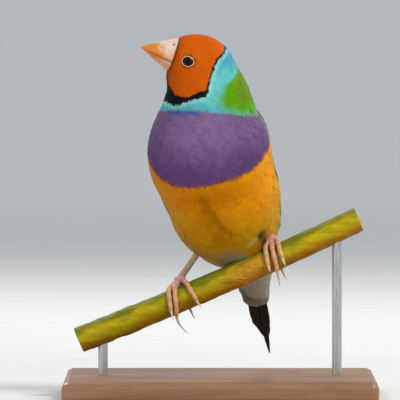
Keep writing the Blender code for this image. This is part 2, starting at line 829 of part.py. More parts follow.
def make_claw(side, toe, spec, toe_points, toe_end_radius):
    """A claw that leaves the toe's end and curls in under the stem."""
    length = spec[3]
    forward = unit(toe_points[-1] - toe_points[-2])
    axis = stem_axes()[0]
    inward = np.cross(axis, forward) * math.copysign(1.0, spec[2])
    count = 6
    curl = math.radians(58.0)
    steps = length / (count - 1)
    points = [toe_points[-1] + GAP * forward]
    for k in range(count - 1):
        q = curl * (k + 0.5) / (count - 1)
        lean = 0.16 * k / (count - 1) * axis
        points.append(points[-1] + steps * unit(math.cos(q) * forward - math.sin(q) * inward + lean))
    path = np.array(points)
    tall = toe_end_radius * 0.9 * np.linspace(1.0, 0.3, count)
    shape = tube(path[:-1], tall[:-1] * 0.72, tall[:-1], 6, axis, end_point=path[-1])
    piece(f"claw_{toe}_{side}", shape, "claw_horn")


def tarsus_shape(foot):
    """The bare shank, with the steps of its scutes down the front."""
    hub, ankle = hub_place(foot), foot["ankle"]
    scutes = 8
    stations, sizes = [], []
    for k in range(scutes):
        for part, size in ((0.04, 0.93), (0.92, 1.07)):
            stations.append((k + part) / scutes)
            sizes.append(size)
    stations = np.array(stations)
    path = ankle + stations[:, None] * (hub - ankle)
    flare = 1.0 + 0.25 * np.exp(-(stations / 0.18) ** 2)
    flare += 0.18 * np.exp(-((1 - stations) / 0.1) ** 2)
    forward = unit(np.cross(np.cross(hub - ankle, -UP), hub - ankle))
    sides = 10
    c, _ = around(sides)
    swell = [1.0 + (size - 1.0) * (0.5 + 0.5 * c[:, 0]) for size in sizes]
    radii = TARSUS_RADIUS * flare
    return tube(path, radii * 0.92, radii, sides, forward, swell=swell)


def clear_of_body(obj):
    """Cuts away what would lie in the belly's feathers."""
    rings = torso_rings(GAP)
    cutter = piece("body_cutter", loft(rings), "golden_belly", collection=CUTTERS)
    combine(obj, [cutter], "DIFFERENCE")


def make_leg(side, foot):
    tarsus = piece(f"tarsus_{side}", tarsus_shape(foot), "leg_cream")
    roots = [toe_root(foot, spec) for spec in foot["toes"].values()]
    combine(tarsus, [palm(foot)] + roots, "UNION")
    clear_of_body(tarsus)
    for toe, spec in foot["toes"].items():
        clear_of_body(make_toe(side, toe, spec))


# Stand


def make_stem():
    return piece("perch", stem_shape(), "stem_yellow", parent=STAND)


def make_base():
    bpy.ops.mesh.primitive_cube_add(size=1.0)
    base = bpy.context.active_object
    base.name = "stand_base"
    base.data.name = "stand_base"
    for home in list(base.users_collection):
        home.objects.unlink(base)
    PARTS.objects.link(base)
    for vert in base.data.vertices:
        size = [BASE_SIZE[i] * MM for i in range(3)]
        lift = (0.0, 0.0, 0.5 * BASE_SIZE[2] * MM)
        vert.co = [vert.co[i] * size[i] + lift[i] for i in range(3)]
    bevel = base.modifiers.new("rounded edges", "BEVEL")
    bevel.width = BASE_CORNER * MM
    bevel.segments = 2
    base.data.materials.append(material("base_wood"))
    base.parent = STAND
    return base


def make_rod(name, x):
    """A straight rod from the base to a saddle under the stem."""
    low = BASE_SIZE[2] + GAP
    high = stem_point(x / math.cos(math.radians(STEM_SLOPE)))[2]
    path = np.array([[x, 0.0, low], [x, 0.0, high]])
    radii = np.full(2, ROD_RADIUS)
    rod = piece(name, tube(path, radii, radii, 16, np.array([0.0, 1.0, 0.0])), "rod_steel",
                parent=STAND)
    cutter = piece("stem_cutter", stem_shape(GAP), "stem_yellow", collection=CUTTERS)
    combine(rod, [cutter], "DIFFERENCE")
    return rod


def main():
    torso = make_torso()
    make_neck()
    make_head()
    make_bill()
    make_wing("wing_left", 1)
    make_wing("wing_right", -1)
    make_tail()
    for side, foot in FEET.items():
        make_leg(side, foot)
    make_stem()
    cutter = piece("stem_cutter", stem_shape(GAP), "stem_yellow", collection=CUTTERS)
    combine(torso, [cutter], "DIFFERENCE")
    make_base()
    make_rod("stand_rod_left", -ROD_AT)
    make_rod("stand_rod_right", ROD_AT)


main()
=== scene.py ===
"""The looks of a Gouldian finch on its perch and display stand.

Lengths are in millimetres and turns in degrees until a mesh is made. X runs to the viewer's right,
Y away from the viewer and Z up, from the middle of the base's underside. The bird's skin is one
smooth field, the same one that the solids follow, and every feather is laid over it.
"""
import math

import bmesh
import bpy
import numpy as np
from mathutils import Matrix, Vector


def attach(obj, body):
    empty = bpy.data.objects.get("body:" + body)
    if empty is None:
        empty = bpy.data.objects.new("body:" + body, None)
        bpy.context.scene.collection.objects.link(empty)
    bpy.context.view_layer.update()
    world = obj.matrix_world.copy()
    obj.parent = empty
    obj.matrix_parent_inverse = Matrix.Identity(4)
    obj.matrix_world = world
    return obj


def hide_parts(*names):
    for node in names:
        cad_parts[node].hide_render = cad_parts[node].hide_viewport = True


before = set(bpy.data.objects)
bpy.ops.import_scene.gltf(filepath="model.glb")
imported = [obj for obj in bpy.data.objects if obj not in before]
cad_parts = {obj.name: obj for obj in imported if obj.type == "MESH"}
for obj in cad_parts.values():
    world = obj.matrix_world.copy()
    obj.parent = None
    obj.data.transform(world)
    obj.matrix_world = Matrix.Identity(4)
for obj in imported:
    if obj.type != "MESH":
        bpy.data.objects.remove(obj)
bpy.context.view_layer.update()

MM = 0.001
GAP = 0.3
UP = np.array([0.0, 0.0, 1.0])
RNG = np.random.default_rng(23)

# Camera: the photo's view, level with the bird, from far enough to be nearly without perspective
VIEW_MIDDLE = np.array([-6.15, 0.0, 60.85])
VIEW_DISTANCE = 2200.0
VIEW_HEIGHT = 1.5
VIEW_WIDTH = 123.08  # of the frame, at the bird
SENSOR = 36.0

# Stance
BODY_YAW, BODY_PITCH = 22.0, 62.0
BODY_MIDDLE = np.array([0.0, 0.0, 65.5])
HEAD_YAW, HEAD_PITCH = 82.0, 12.0
HEAD_MIDDLE = np.array([-6.6, -13.5, 102.6])
TAIL_YAW, TAIL_PITCH = 12.8, 50.8
TAIL_ROOT = np.array([8.0, 14.7, 44.9])

# Forms: frame, middle (along it, to the bird's left, belly-ward) and radii
BODY_FORMS = {
    "breast": ("body", (11.0, -1.1, 2.4), (20.0, 18.5, 17.3)),
    "belly": ("body", (-5.0, -0.4, 1.5), (20.0, 16.6, 16.3)),
    "lower": ("body", (-16.5, 0.9, -0.8), (12.5, 12.9, 11.3)),
    "shoulders": ("body", (14.0, -0.4, -4.0), (16.5, 14.8, 12.5)),
    "back": ("body", (-4.0, 0.4, -4.5), (24.0, 14.2, 12.5)),
    "rump": ("body", (-25.0, 1.6, -5.0), (14.0, 8.2, 7.0)),
    "tail_base": ("tail", (9.0, 0.0, 0.3), (18.0, 4.8, 4.2)),
    "neck": ("body", (26.0, 0.0, 0.0), (14.0, 12.5, 12.5)),
    "nape": ("body", (27.5, 4.6, -3.6), (13.0, 8.6, 9.2)),
}
HEAD_FORMS = {
    "skull": ("head", (-0.6, 0.0, -0.4), (9.9, 8.3, 9.0)),
    "face": ("head", (2.0, 0.0, -1.0), (10.5, 6.7, 7.6)),
    "throat": ("head", (1.5, 0.0, 3.5), (7.6, 6.4, 6.5)),
}
BODY_BLEND, HEAD_BLEND = 4.0, 2.0
FACE_AT, FACE_LEAN, FACE_ROUND = 8.7, 0.12, 1.5
HEAD_LOW = np.array([-7.8, -13.0, 93.6])
HEAD_LOW_NORMAL = np.array([-0.24, -0.12, 0.96])
MASK_REACH = 19.0  # the mask's farthest point from the head's middle

# Bill, in the head's frame
BILL_TIP = (19.0, -1.5)
CULMEN_BASE_DOWN, GONYS_BASE_DOWN, GAPE_BASE_DOWN = -6.4, 3.8, 0.9
BILL_HALF_WIDTH = 4.1
BILL_SOURCE = (13.0, 0.0, -1.3)  # the point that the face's feathers point away from

# Eyes
EYE_AHEAD, EYE_DOWN = 4.4, -0.1
EYE_RADIUS, EYE_DEPTH = 2.3, 1.55
LID_RADII = (1.73, 1.57)  # along the head and upright
LID_THICKNESS = 0.19
EYE_CLEAR, EYE_BARE, EYE_REACH = 1.9, 1.95, 2.35  # from its middle: no coat, no roots, no tips

# Skin and coats. Coats from the bill down: the zone that sets the length, spacing, length in that
# zone and growth out of it, width over length, depth of roots, lift of tips and spread of tones
SKIN_GRAIN, FOOT_GRAIN = 0.62, 0.11
SKIN_INSET = 0.8  # of the rough skin, before it settles
SKIN_RISE = 0.85  # the most that the skin follows the plumage's swelling
COATS = {
    "face_feathers": (0, 0.235, 0.95, 0.75, 0.62, 0.45, 0.01, 0.03),
    "head_coat": (1, 0.29, 1.8, 0.0, 0.58, 0.45, 0.02, 0.03),
    "neck_coat": (2, 0.41, 2.5, 1.2, 0.58, 0.38, 0.02, 0.025),
    "body_coat": (2, 0.56, 4.6, 0.0, 0.54, 0.36, 0.02, 0.025),
}
COAT_END = 16.5  # along the tail
PATCH = 0.003  # size of a tuft's patch on the bake map
MOST_TRIANGLES = 190000  # in one piece of a coat
SOFTNESS = 0.88  # share of the surface's own normals in the coat's shading

# Wing
WING_FRONT, WING_REAR = 18.5, -15.0
WING_LOW_TURN, WING_TOP_TURN_FRONT, WING_TOP_TURN_REAR = 103.0, 148.0, 162.0
WING_CORE = 0.8  # thickness of its flesh
COVERT_TRIES, COVERT_GAP = 900, 0.8

# Perch, feet and stand
STEM_RADIUS, STEM_HALF_LENGTH = 3.8, 47.0
STEM_MIDDLE = np.array([0.0, 0.0, 35.5])
STEM_SLOPE, STEM_BEND = 23.4, 0.9
TOE_RADIUS, TOE_GAP, KNUCKLE_TURN = 0.74, 0.16, 24.0
TARSUS_RADIUS = 1.08
CLAW_CURL, CLAW_LEAN = 58.0, 0.16  # of the claws that grip
# Toes that leave the stem before their end: where, in degrees, how far they run straight on, the
# claw's curl and its lean to the viewer's right
HANGING = {("right", "middle"): (128.0, 1.6, 26.0, 1.1), ("left", "middle"): (126.0, 1.2, 28.0, -0.1)}
FEET = {
    "right": {
        "along": -10.9,
        "over": 5.9,
        "ankle": np.array([-4.9, 8.2, 47.2]),
        "toes": {
            "inner": (-9.6, -8.8, 114.0, 2.8),
            "middle": (-13.1, -15.8, 146.0, 7.0),
            "outer": (-15.2, -17.1, 110.0, 3.2),
            "hind": (-11.1, -11.7, -128.0, 4.6),
        },
    },
    "left": {
        "along": 19.6,
        "over": 5.9,
        "ankle": np.array([14.2, 9.5, 54.5]),
        "toes": {
            "inner": (17.2, 15.8, 100.0, 2.4),
            "middle": (19.3, 17.8, 142.0, 5.4),
            "outer": (21.3, 20.6, 98.0, 2.8),
            "hind": (19.5, 19.0, -128.0, 4.6),
        },
    },
}


def rgb(*levels):
    """Linear colour from the levels that a screen shows, 0 to 255."""
    v = np.array(levels) / 255.0
    return np.where(v <= 0.04045, v / 12.92, ((v + 0.055) / 1.055) ** 2.4)


# Plumage colours
MASK_TOP, MASK_LOW = rgb(196, 86, 3), rgb(192, 84, 6)
BLACK = rgb(14, 20, 22)
COLLAR_BLUE, COLLAR_TURQUOISE, COLLAR_PALE = rgb(60, 144, 176), rgb(94, 182, 178), rgb(152, 214, 204)
BREAST_PAINTED_LIGHT_TOP, BREAST_LOW, BREAST_EDGE = rgb(126, 99, 142), rgb(94, 65, 114), rgb(44, 84, 148)
MAROON = rgb(132, 66, 44)
BELLY_GOLD, BELLY_RICH, BELLY_OLIVE = rgb(206, 137, 0), rgb(201, 119, 0), rgb(162, 136, 12)
VENT, VENT_MAUVE = rgb(150, 140, 122), rgb(158, 140, 96)
UNDERTAIL = rgb(166, 168, 154)
MANTLE_BRIGHT, MANTLE_OLIVE, MANTLE_SOFT = rgb(88, 152, 6), rgb(95, 130, 4), rgb(82, 156, 60)
RUMP_BLUE = rgb(140, 196, 222)
WING_GREEN, WING_BROWN, WING_EDGE = rgb(86, 132, 22), rgb(66, 58, 46), rgb(176, 162, 96)
PAINTED_WING_RIM_LIGHT, PAINTED_RIM_LIGHT_OLIVE, PAINTED_RIM_LIGHT_GREY = rgb(150, 152, 96), rgb(176, 146, 48), rgb(132, 130, 136)
TAIL_BLACK = rgb(36, 39, 30)

# Other colours
IRIS_INNER, IRIS_OUTER, PUPIL = rgb(40, 20, 11), rgb(18, 10, 7), rgb(3, 3, 4)
CLAW_ROOT, CLAW_HORN, CLAW_TIP = rgb(226, 190, 158), rgb(196, 192, 160), rgb(150, 150, 118)
BARK_TOP, BARK_SIDE, BARK_UNDER = rgb(108, 114, 14), rgb(168, 152, 6), rgb(146, 94, 8)
BARK_LEFT, BARK_RIGHT = rgb(150, 118, 6), rgb(162, 110, 8)
BARK_SCAR, BARK_SPOT, STEM_WOOD = rgb(176, 116, 34), rgb(120, 74, 30), rgb(190, 172, 122)


# Geometry of the field


def unit(v):
    return v / np.maximum(np.linalg.norm(v, axis=-1, keepdims=True), 1e-9)


def frame_axes(yaw, pitch):
    y, q = math.radians(yaw), math.radians(pitch)
    level = np.array([-math.sin(y), -math.cos(y), 0.0])
    left = np.array([math.cos(y), -math.sin(y), 0.0])
    ahead = math.cos(q) * level + math.sin(q) * UP
    belly = math.sin(q) * level - math.cos(q) * UP
    return np.array([ahead, left, belly])


FRAMES = {
    "body": (frame_axes(BODY_YAW, BODY_PITCH), BODY_MIDDLE),
    "head": (frame_axes(HEAD_YAW, HEAD_PITCH), HEAD_MIDDLE),
    "tail": (frame_axes(TAIL_YAW, TAIL_PITCH) * np.array([[-1.0], [1.0], [1.0]]), TAIL_ROOT),
}


def place(name, ahead, left, belly):
    axes, origin = FRAMES[name]
    a, b, c = (np.asarray(v, float)[..., None] for v in (ahead, left, belly))
    return origin + a * axes[0] + b * axes[1] + c * axes[2]


def local(name, points):
    axes, origin = FRAMES[name]
    return (points - origin) @ axes.T


def smooth_min(a, b, blend):
    h = np.maximum(blend - np.abs(a - b), 0.0) / blend
    return np.minimum(a, b) - h * h * blend * 0.25


def smooth_step(low, high, x):
    t = np.clip((x - low) / (high - low), 0.0, 1.0)
    return t * t * (3.0 - 2.0 * t)


def bell(x, width):
    """1 at 0, falling off to both sides over a width."""
    return np.exp(-((x / width) ** 2))


def mound(along, turn, middle, size):
    """A rounded weight over two coordinates, 1 at its middle."""
    return np.exp(-(((along - middle[0]) / size[0]) ** 2 + ((turn - middle[1]) / size[1]) ** 2))


def mix(a, b, weight):
    w = np.asarray(weight)[..., None]
    return a * (1.0 - w) + b * w


def form_distance(points, name, middle, radii):
    q = (points - place(name, *middle)) @ FRAMES[name][0].T
    r = np.array(radii)
    k0 = np.linalg.norm(q / r, axis=-1)
    k1 = np.linalg.norm(q / r**2, axis=-1)
    return k0 * (k0 - 1.0) / np.maximum(k1, 1e-9)


def blended(points, forms, blend):
    total = None
    for form in forms.values():
        d = form_distance(points, *form)
        total = d if total is None else smooth_min(total, d, blend)
    return total


def surface(points):
    """About the distance of points from the tips of the plumage, less than nothing inside."""
    head = blended(points, HEAD_FORMS, HEAD_BLEND)
    q = local("head", points)
    flat = q[..., 0] - FACE_AT - FACE_LEAN * q[..., 2]
    head = -smooth_min(-head, -flat, FACE_ROUND)
    return smooth_min(blended(points, BODY_FORMS, BODY_BLEND), head, BODY_BLEND)


def gradient(points, step=0.05):
    parts = []
    for axis in np.eye(3):
        parts.append(surface(points + step * axis) - surface(points - step * axis))
    return np.stack(parts, -1) / (2 * step)


def settle(points, lift, rounds=5):
    """Points moved along the surface's normal until they lie lift above it."""
    for _ in range(rounds):
        slope = gradient(points)
        size = np.maximum(np.linalg.norm(slope, axis=-1), 0.2)
        points = points - ((surface(points) - lift * size) / size**2)[..., None] * slope
    return points


def cast(origin, directions):
    """Where rays from inside the bird first leave it."""
    t = np.linspace(0.0, 40.0, 90)
    points = origin + t[:, None, None] * directions[None]
    outside = surface(points.reshape(-1, 3)).reshape(points.shape[:2]) > 0.0
    first = np.argmax(outside, axis=0)
    low, high = t[np.maximum(first - 1, 0)], t[first]
    for _ in range(18):
        middle = (low + high) / 2
        above = surface(origin + middle[:, None] * directions) > 0.0
        low, high = np.where(above, low, middle), np.where(above, middle, high)
    return origin + high[:, None] * directions


def spine(along):
    """The middle of the body at places along it."""
    along = np.asarray(along, float)
    rise = np.maximum(0.0, -along) * 0.2
    aside = np.maximum(0.0, -15.0 - along) * 0.12
    return place("body", along, aside, -rise)


def on_body(along, turn, side):
    _, left, belly = FRAMES["body"][0]
    q = math.radians(turn)
    direction = math.cos(q) * belly + side * math.sin(q) * left
    return cast(spine(along), direction[None])[0]


def body_place(points):
    """How far along the body points lie, and their turn round it from the belly to its left."""
    axes = FRAMES["body"][0]
    along = local("body", points)[..., 0]
    d = points - spine(along)
    return along, np.degrees(np.arctan2(d @ axes[1], d @ axes[2]))


def head_at(ahead, left, down):
    return place("head", ahead, left, down)


def eye_place(side):
    inside = head_at(EYE_AHEAD, 0.0, EYE_DOWN)
    cheek = cast(inside, (side * FRAMES["head"][0][1])[None])[0]
    outward = unit(gradient(cheek[None]))[0]
    return cheek - EYE_DEPTH * outward, outward


EYES = {"left": eye_place(1), "right": eye_place(-1)}


def waves(seed, count=7):
    """A smooth random field of about -1 to 1, as a function of points and a wavelength."""
    draw = np.random.default_rng(seed)
    ways = unit(draw.normal(size=(count, 3))) * draw.uniform(0.7, 1.4, (count, 1))
    phases = draw.uniform(0, 2 * math.pi, count)

    def field(points, length):
        return np.sin(points @ ways.T * (2 * math.pi / length) + phases).sum(-1) / math.sqrt(count)

    return field


WAVES = [waves(seed) for seed in range(6)]


# Zones of the plumage


def zones(points):
    """Weights from 0 to 1 of the face, the head and the neck, the rest being body."""
    from_head = np.linalg.norm(points - HEAD_MIDDLE, axis=-1)
    from_bill = np.linalg.norm(points - head_at(8.7, 0.0, -1.3), axis=-1)
    head = 1.0 - smooth_step(10.5, 15.0, from_head)
    neck = 1.0 - smooth_step(15.0, 27.0, from_head)
    face = 1.0 - smooth_step(4.5, 10.5, from_bill)
    return face, head, neck


def coat_depth(points):
    face, head, neck = zones(points)
    depth = 0.98 - 0.18 * neck - 0.3 * head
    return depth - 0.22 * face


# The belly's slanting crease: along the body, and its turn from the belly
CREASE_ALONG, CREASE_TURN = (-10.7, -5.6, -0.2, 4.5, 9.1), (22.0, 15.0, 9.0, 7.0, 6.0)

# The groove between the two lobes under the tail, in its frame: aside, and along it
UNDERTAIL_GROOVE = ((-4.0, -1.9, 0.1, 3.5, 5.0), (6.0, 11.7, 16.9, 18.9, 19.5))


def coat_limit(along):
    """The turn up to which the flank's feathers cover the wing's lower edge."""
    return 120.0 + 8.0 * smooth_step(4.0, 12.0, along)


def relief(points):
    """How far the plumage swells over the smooth field: soft clumps and the belly's parting."""
    _, head, _ = zones(points)
    along, turn = body_place(points)
    clumps = 0.12 * WAVES[0](points, 9.0) + 0.06 * WAVES[1](points, 4.0)
    crease = np.interp(along, CREASE_ALONG, CREASE_TURN)
    parting = bell(turn - crease, 5.0) * smooth_step(9.0, 0.0, along)
    parting = parting * smooth_step(-19.0, -8.0, along)
    beyond = np.abs(turn) - coat_limit(along)
    flank = smooth_step(80.0, 106.0, np.abs(turn)) * smooth_step(8.0, 0.0, beyond)
    flank = flank * edge(np.abs(along) - 21.0, 9.0) * np.where(turn > 0, 0.95, 0.35)
    seat = mound(along, turn, (-20.5, -14.0), (6.0, 26.0))
    thigh = mound(along, turn, (-7.5, -41.0), (5.0, 18.0))
    dent = mound(along, turn, (-0.5, -57.0), (4.0, 14.0))
    shoulder = mound(along, turn, (25.0, -78.0), (4.5, 24.0))
    q = local("tail", points)
    groove = q[..., 0] - np.interp(q[..., 1], *UNDERTAIL_GROOVE)
    groove = bell(groove, 1.3) * smooth_step(0.0, 3.0, q[..., 2])
    shift = np.clip(q[..., 1] / 4.8, -1.0, 1.0) * smooth_step(2.0, 8.0, q[..., 0])
    tail = 0.9 * shift - 0.9 * groove - 1.5 * smooth_step(19.5, 22.5, q[..., 0])
    crown = smooth_step(-5.0, -9.0, local("head", points)[..., 2]) * head
    swell = flank + 0.8 * shoulder + tail - 1.5 * seat - 1.15 * thigh + 0.45 * dent - 0.35 * crown
    return clumps * (1.0 - 0.8 * head) - 0.9 * parting + swell


def flow(points, normals):
    """The way that feathers point, from the bill back over the head and down the body."""
    away = unit(points - head_at(*BILL_SOURCE))
    from_head = np.linalg.norm(points - HEAD_MIDDLE, axis=-1)
    along, _ = body_place(points)
    down = -FRAMES["body"][0][0]
    tail = FRAMES["tail"][0][0]
    body_way = mix(down, tail, smooth_step(-10.0, -26.0, along))
    way = mix(away, body_way, smooth_step(8.5, 19.0, from_head))
    way = way - (way * normals).sum(-1, keepdims=True) * normals
    return unit(way)


# Markings


def outline_distance(points, outline):
    """Signed distance of 2D points from a closed outline, less than nothing inside."""
    a = np.array(outline, float)
    b = np.roll(a, -1, axis=0)
    best = np.full(points.shape[0], 1e9)
    inside = np.zeros(points.shape[0], bool)
    for p, q in zip(a, b):
        side = q - p
        t = np.clip(((points - p) @ side) / (side @ side), 0.0, 1.0)
        best = np.minimum(best, np.linalg.norm(points - p - t[:, None] * side, axis=-1))
        crosses = (p[1] > points[:, 1]) != (q[1] > points[:, 1])
        rise = q[1] - p[1] if q[1] != p[1] else 1e-9
        at = p[0] + (points[:, 1] - p[1]) / rise * side[0]
        inside ^= crosses & (points[:, 0] < at)
    return np.where(inside, -best, best)


# Side-on outlines in the head's frame: (ahead, down)
MASK = ((-6.2, -14), (-6.2, -6.4), (-5.6, -4.9), (-3.8, -2.3), (-3.0, 0.5), (-2.8, 3.2), (-2.6, 5.6),
        (-2.3, 7.4), (-0.2, 8.5), (1.1, 9.6), (2.6, 10.7), (4.4, 10.8), (6.1, 10.2), (7.4, 8.6),
        (8.6, 6.2), (9.3, 3.9), (15, 3.9), (15, -14))
BIB = ((-6.9, -14), (-6.9, -6.4), (-6.3, -4.9), (-4.5, -2.3), (-3.7, 0.5), (-3.5, 3.2), (-3.3, 5.6),
       (-3.3, 7.6), (-2.9, 9.1), (-1.4, 10.1), (1.4, 11.4), (4.0, 13.2), (5.7, 14.0), (7.4, 13.4),
       (9.5, 12.5), (16, 10), (16, -14))


# Where the green mantle begins on the nape: along the body, and the turn from the belly
NAPE_ALONG = (19.0, 24.2, 27.0, 29.4, 31.4, 33.5, 35.1, 36.4, 36.9, 37.6)
NAPE_TURN = (107, 100, 91, 89, 91, 102, 120, 140, 163, 190)

# Small patches of the lower belly: middle, size, colour and weight. The dark ones are painted shadow by
# the left leg and painted shade along the crease
PATCHES = (
    # painted shadow where the left leg leaves the belly
    (on_body(-13.6, 53.5, 1), 1.9, rgb(46, 28, 24), 1.0),
    (on_body(-16.4, 55.0, 1), 1.9, rgb(46, 28, 24), 1.0),
    (on_body(-14.6, 42.0, 1), 1.7, rgb(206, 206, 130), 0.5),
    # painted shade beside the belly's crease
    *((on_body(along, np.interp(along, CREASE_ALONG, CREASE_TURN) - 2.0, 1), 2.2,
       rgb(156, 90, 2), 0.6) for along in (4.5, 0.5, -3.5, -7.5)),
)

# Where the flank's painted rim light begins: along the body, and the turn from the belly
PAINTED_RIM_LIGHT_ALONG = (-21.0, -17.0, -11.0, -4.6, 2.5, 9.0, 12.0, 15.5, 19.0)
PAINTED_RIM_LIGHT_TURN = (81.0, 87.0, 96.0, 103.0, 105.0, 101.0, 101.0, 105.0, 109.0)


def edge(distance, width):
    """1 inside a border and 0 outside, changing over a width."""
    return 1.0 - smooth_step(-width / 2, width / 2, distance)


def plumage(points, wobble=1.0):
    """The linear colour of the plumage at points on or near the bird's surface."""
    q = local("head", points)
    along, turn = body_place(points)
    rough = wobble * (0.16 * WAVES[2](points, 1.3) + 0.1 * WAVES[3](points, 0.6))
    broad = WAVES[4](points, 14.0)
    fine = WAVES[5](points, 3.1)
    twisted = turn + 60.0 * smooth_step(22.0, 40.0, along)
    from_belly = np.abs((twisted + 180.0) % 360.0 - 180.0)

    # Body
    gold = mix(BELLY_GOLD, BELLY_RICH, 0.5 + 0.35 * broad)
    # painted light and shade: the gold is lighter on the bird's left flank, towards the key lamp, and
    # darker on its right
    painted_light = 1.04 + 0.16 * smooth_step(20.0, 75.0, turn) - 0.1 * smooth_step(0.0, -40.0, turn)
    gold = gold * painted_light[..., None]
    olive = smooth_step(2.0, -13.0, along) * (0.55 + 0.2 * fine)
    colour = mix(gold, BELLY_OLIVE, np.clip(olive, 0, 1))
    vent_line = -16.2 - 0.04 * np.maximum(np.abs(turn - 15.0) - 7.0, 0.0) ** 2 + 0.6 * fine
    vent_line = np.maximum(vent_line, -23.0)
    colour = mix(colour, VENT_MAUVE, edge(along - vent_line, 4.4))
    colour = mix(colour, VENT, edge(along - vent_line + 2.6, 3.4))
    rear, aside, _ = local("tail", points).T
    # painted shadow: the lobe beyond the groove under the tail is darker, most of all at its rear end
    shaded_lobe = smooth_step(-1.6, 0.8, rear - np.interp(aside, *UNDERTAIL_GROOVE))
    under = mix(UNDERTAIL, UNDERTAIL * 0.4, shaded_lobe)
    under = mix(under, UNDERTAIL * 0.75, shaded_lobe * smooth_step(17.0, 20.5, rear))
    colour = mix(colour, under, edge(along + 24.0 - 0.8 * fine, 4.0))
    for spot, size, tone, weight in PATCHES:
        near = bell(np.linalg.norm(points - spot, axis=-1), size)
        colour = mix(colour, tone, weight * near)

    # Back and rump
    # painted rim light: a pale band along the flank's edge, olive over the belly
    rim_at = np.interp(along, PAINTED_RIM_LIGHT_ALONG, PAINTED_RIM_LIGHT_TURN)
    rim = smooth_step(-2.0, 6.0, np.abs(turn) - rim_at + 3.0 * rough)
    rim = rim * smooth_step(22.0, 14.0, np.abs(turn) - rim_at)
    colour = mix(colour, PAINTED_RIM_LIGHT_OLIVE, 0.8 * rim * smooth_step(-26.0, -20.0, along))
    back = smooth_step(116.0, 124.0, np.abs(turn) + 3.0 * rough)
    green = mix(MANTLE_OLIVE, WING_GREEN, 0.5 + 0.4 * fine)
    green = mix(green, RUMP_BLUE, edge(along + 16.5 + 1.5 * rough, 4.0))
    colour = mix(colour, green, back)

    # Breast
    top = 32.2 - 0.0009 * (turn + 5.0) ** 2 + 0.5 * rough
    low = 9.8 + 0.0018 * np.clip(turn + 8.0, -50.0, 0.0) ** 2 + 0.9 * rough
    low = low + 0.0002 * np.maximum(turn, 0.0) ** 2
    # painted light and shade: the purple is lighter towards the top of the breast, as light falls from
    # above, and darker at both sides
    shade = smooth_step(12.0, 30.0, along + 1.5 * fine)
    purple = mix(BREAST_LOW, BREAST_PAINTED_LIGHT_TOP, shade)
    sides = 0.28 * smooth_step(-10.0, -60.0, turn) + 0.16 * smooth_step(25.0, 70.0, turn)
    purple = purple * (1.0 - sides)[..., None]
    line = 0.75 * smooth_step(-1.9, -0.6, along - top) * edge(np.abs(turn + 10.0) - 28.0, 26.0)
    purple = mix(purple, BREAST_EDGE, line)
    purple = mix(purple, MAROON, smooth_step(1.1, 0.3, along - low))
    # painted rim light: the same pale band, grey over the breast
    purple = mix(purple, PAINTED_RIM_LIGHT_GREY, 0.6 * rim)
    front = 1.0 - smooth_step(12.0, 16.0, np.abs(turn) - rim_at + 3.0 * rough)
    is_breast = edge(low - along, 1.1) * front
    colour = mix(colour, purple, is_breast)

    # Collar and mantle
    on_back = smooth_step(101.0, 105.0, np.abs(turn)) * edge(along - 22.5, 3.0)
    is_neck = edge(top - along, 0.7) * (1.0 - on_back)
    high = smooth_step(98.0, 106.0, points[..., 2] + 0.8 * fine)
    collar = mix(COLLAR_TURQUOISE, COLLAR_BLUE, high)
    in_front = 1.0 - smooth_step(60.0, 95.0, from_belly)
    low_front = (1.0 - smooth_step(0.4, 3.0, along - top)) * in_front
    collar = mix(collar, COLLAR_BLUE, 0.45 * low_front)
    near_bib = outline_distance(q[:, [0, 2]], BIB)
    collar = mix(collar, COLLAR_PALE, 0.6 * edge(near_bib - 0.9, 1.4))
    colour = mix(colour, collar, is_neck)
    nape_edge = np.interp(along, NAPE_ALONG, NAPE_TURN)
    into = from_belly - nape_edge + 6.0 * rough
    mantle = mix(MANTLE_SOFT, MANTLE_BRIGHT, smooth_step(-6, 5, into))
    mantle = mix(mantle, MANTLE_OLIVE, smooth_step(12, 34, into))
    is_mantle = smooth_step(-22.0, 5.0, into + 3.0 * fine) * edge(along - 38.0, 4.0)
    is_mantle = is_mantle * smooth_step(8, 16, along)
    is_mantle = is_mantle * np.clip(is_neck + back, 0, 1)
    colour = mix(colour, mantle, is_mantle)

    # Head
    colour = mix(colour, BLACK, edge(near_bib + rough, 0.35))
    orange = mix(MASK_TOP, MASK_LOW, smooth_step(-3.0, 8.0, q[:, 2]))
    is_mask = edge(outline_distance(q[:, [0, 2]], MASK) + rough, 0.3)
    near_head = np.linalg.norm(points - HEAD_MIDDLE, axis=-1) < MASK_REACH
    # painted shade: the mask is darker right next to the bill's seat
    seat = smooth_step(0.9, 0.1, FACE_AT + FACE_LEAN * q[:, 2] - q[:, 0])
    orange = orange * (1.0 - 0.4 * seat)[..., None]
    return mix(colour, orange, is_mask * near_head)


# Making meshes


def raw_object(name, points, faces):
    mesh = bpy.data.meshes.new(name)
    mesh.from_pydata(np.asarray(points, float) * MM, [], faces)
    mesh.update()
    obj = bpy.data.objects.new(name, mesh)
    bpy.context.scene.collection.objects.link(obj)
    return obj


def finish_piece(obj, material, nodes=()):
    """Gives a mesh its material and its place in the part, and hides the solids that it stands for."""
    obj.data.shade_smooth()
    obj.data.materials.clear()
    obj.data.materials.append(material)
    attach(obj, "root")
    if nodes:
        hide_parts(*nodes)
    return obj


def paint(mesh, colours):
    layer = mesh.color_attributes.new("tint", "FLOAT_COLOR", "POINT")
    rgba = np.ones((len(colours), 4), np.float32)
    rgba[:, :3] = colours
    layer.data.foreach_set("color", rgba.ravel())


def lay_uv(mesh, name, uv):
    """A UV map from one coordinate for each vertex."""
    corners = np.empty(len(mesh.loops), np.int32)
    mesh.loops.foreach_get("vertex_index", corners)
    layer = mesh.uv_layers.new(name=name)
    layer.data.foreach_set("uv", uv[corners].astype(np.float32).ravel())


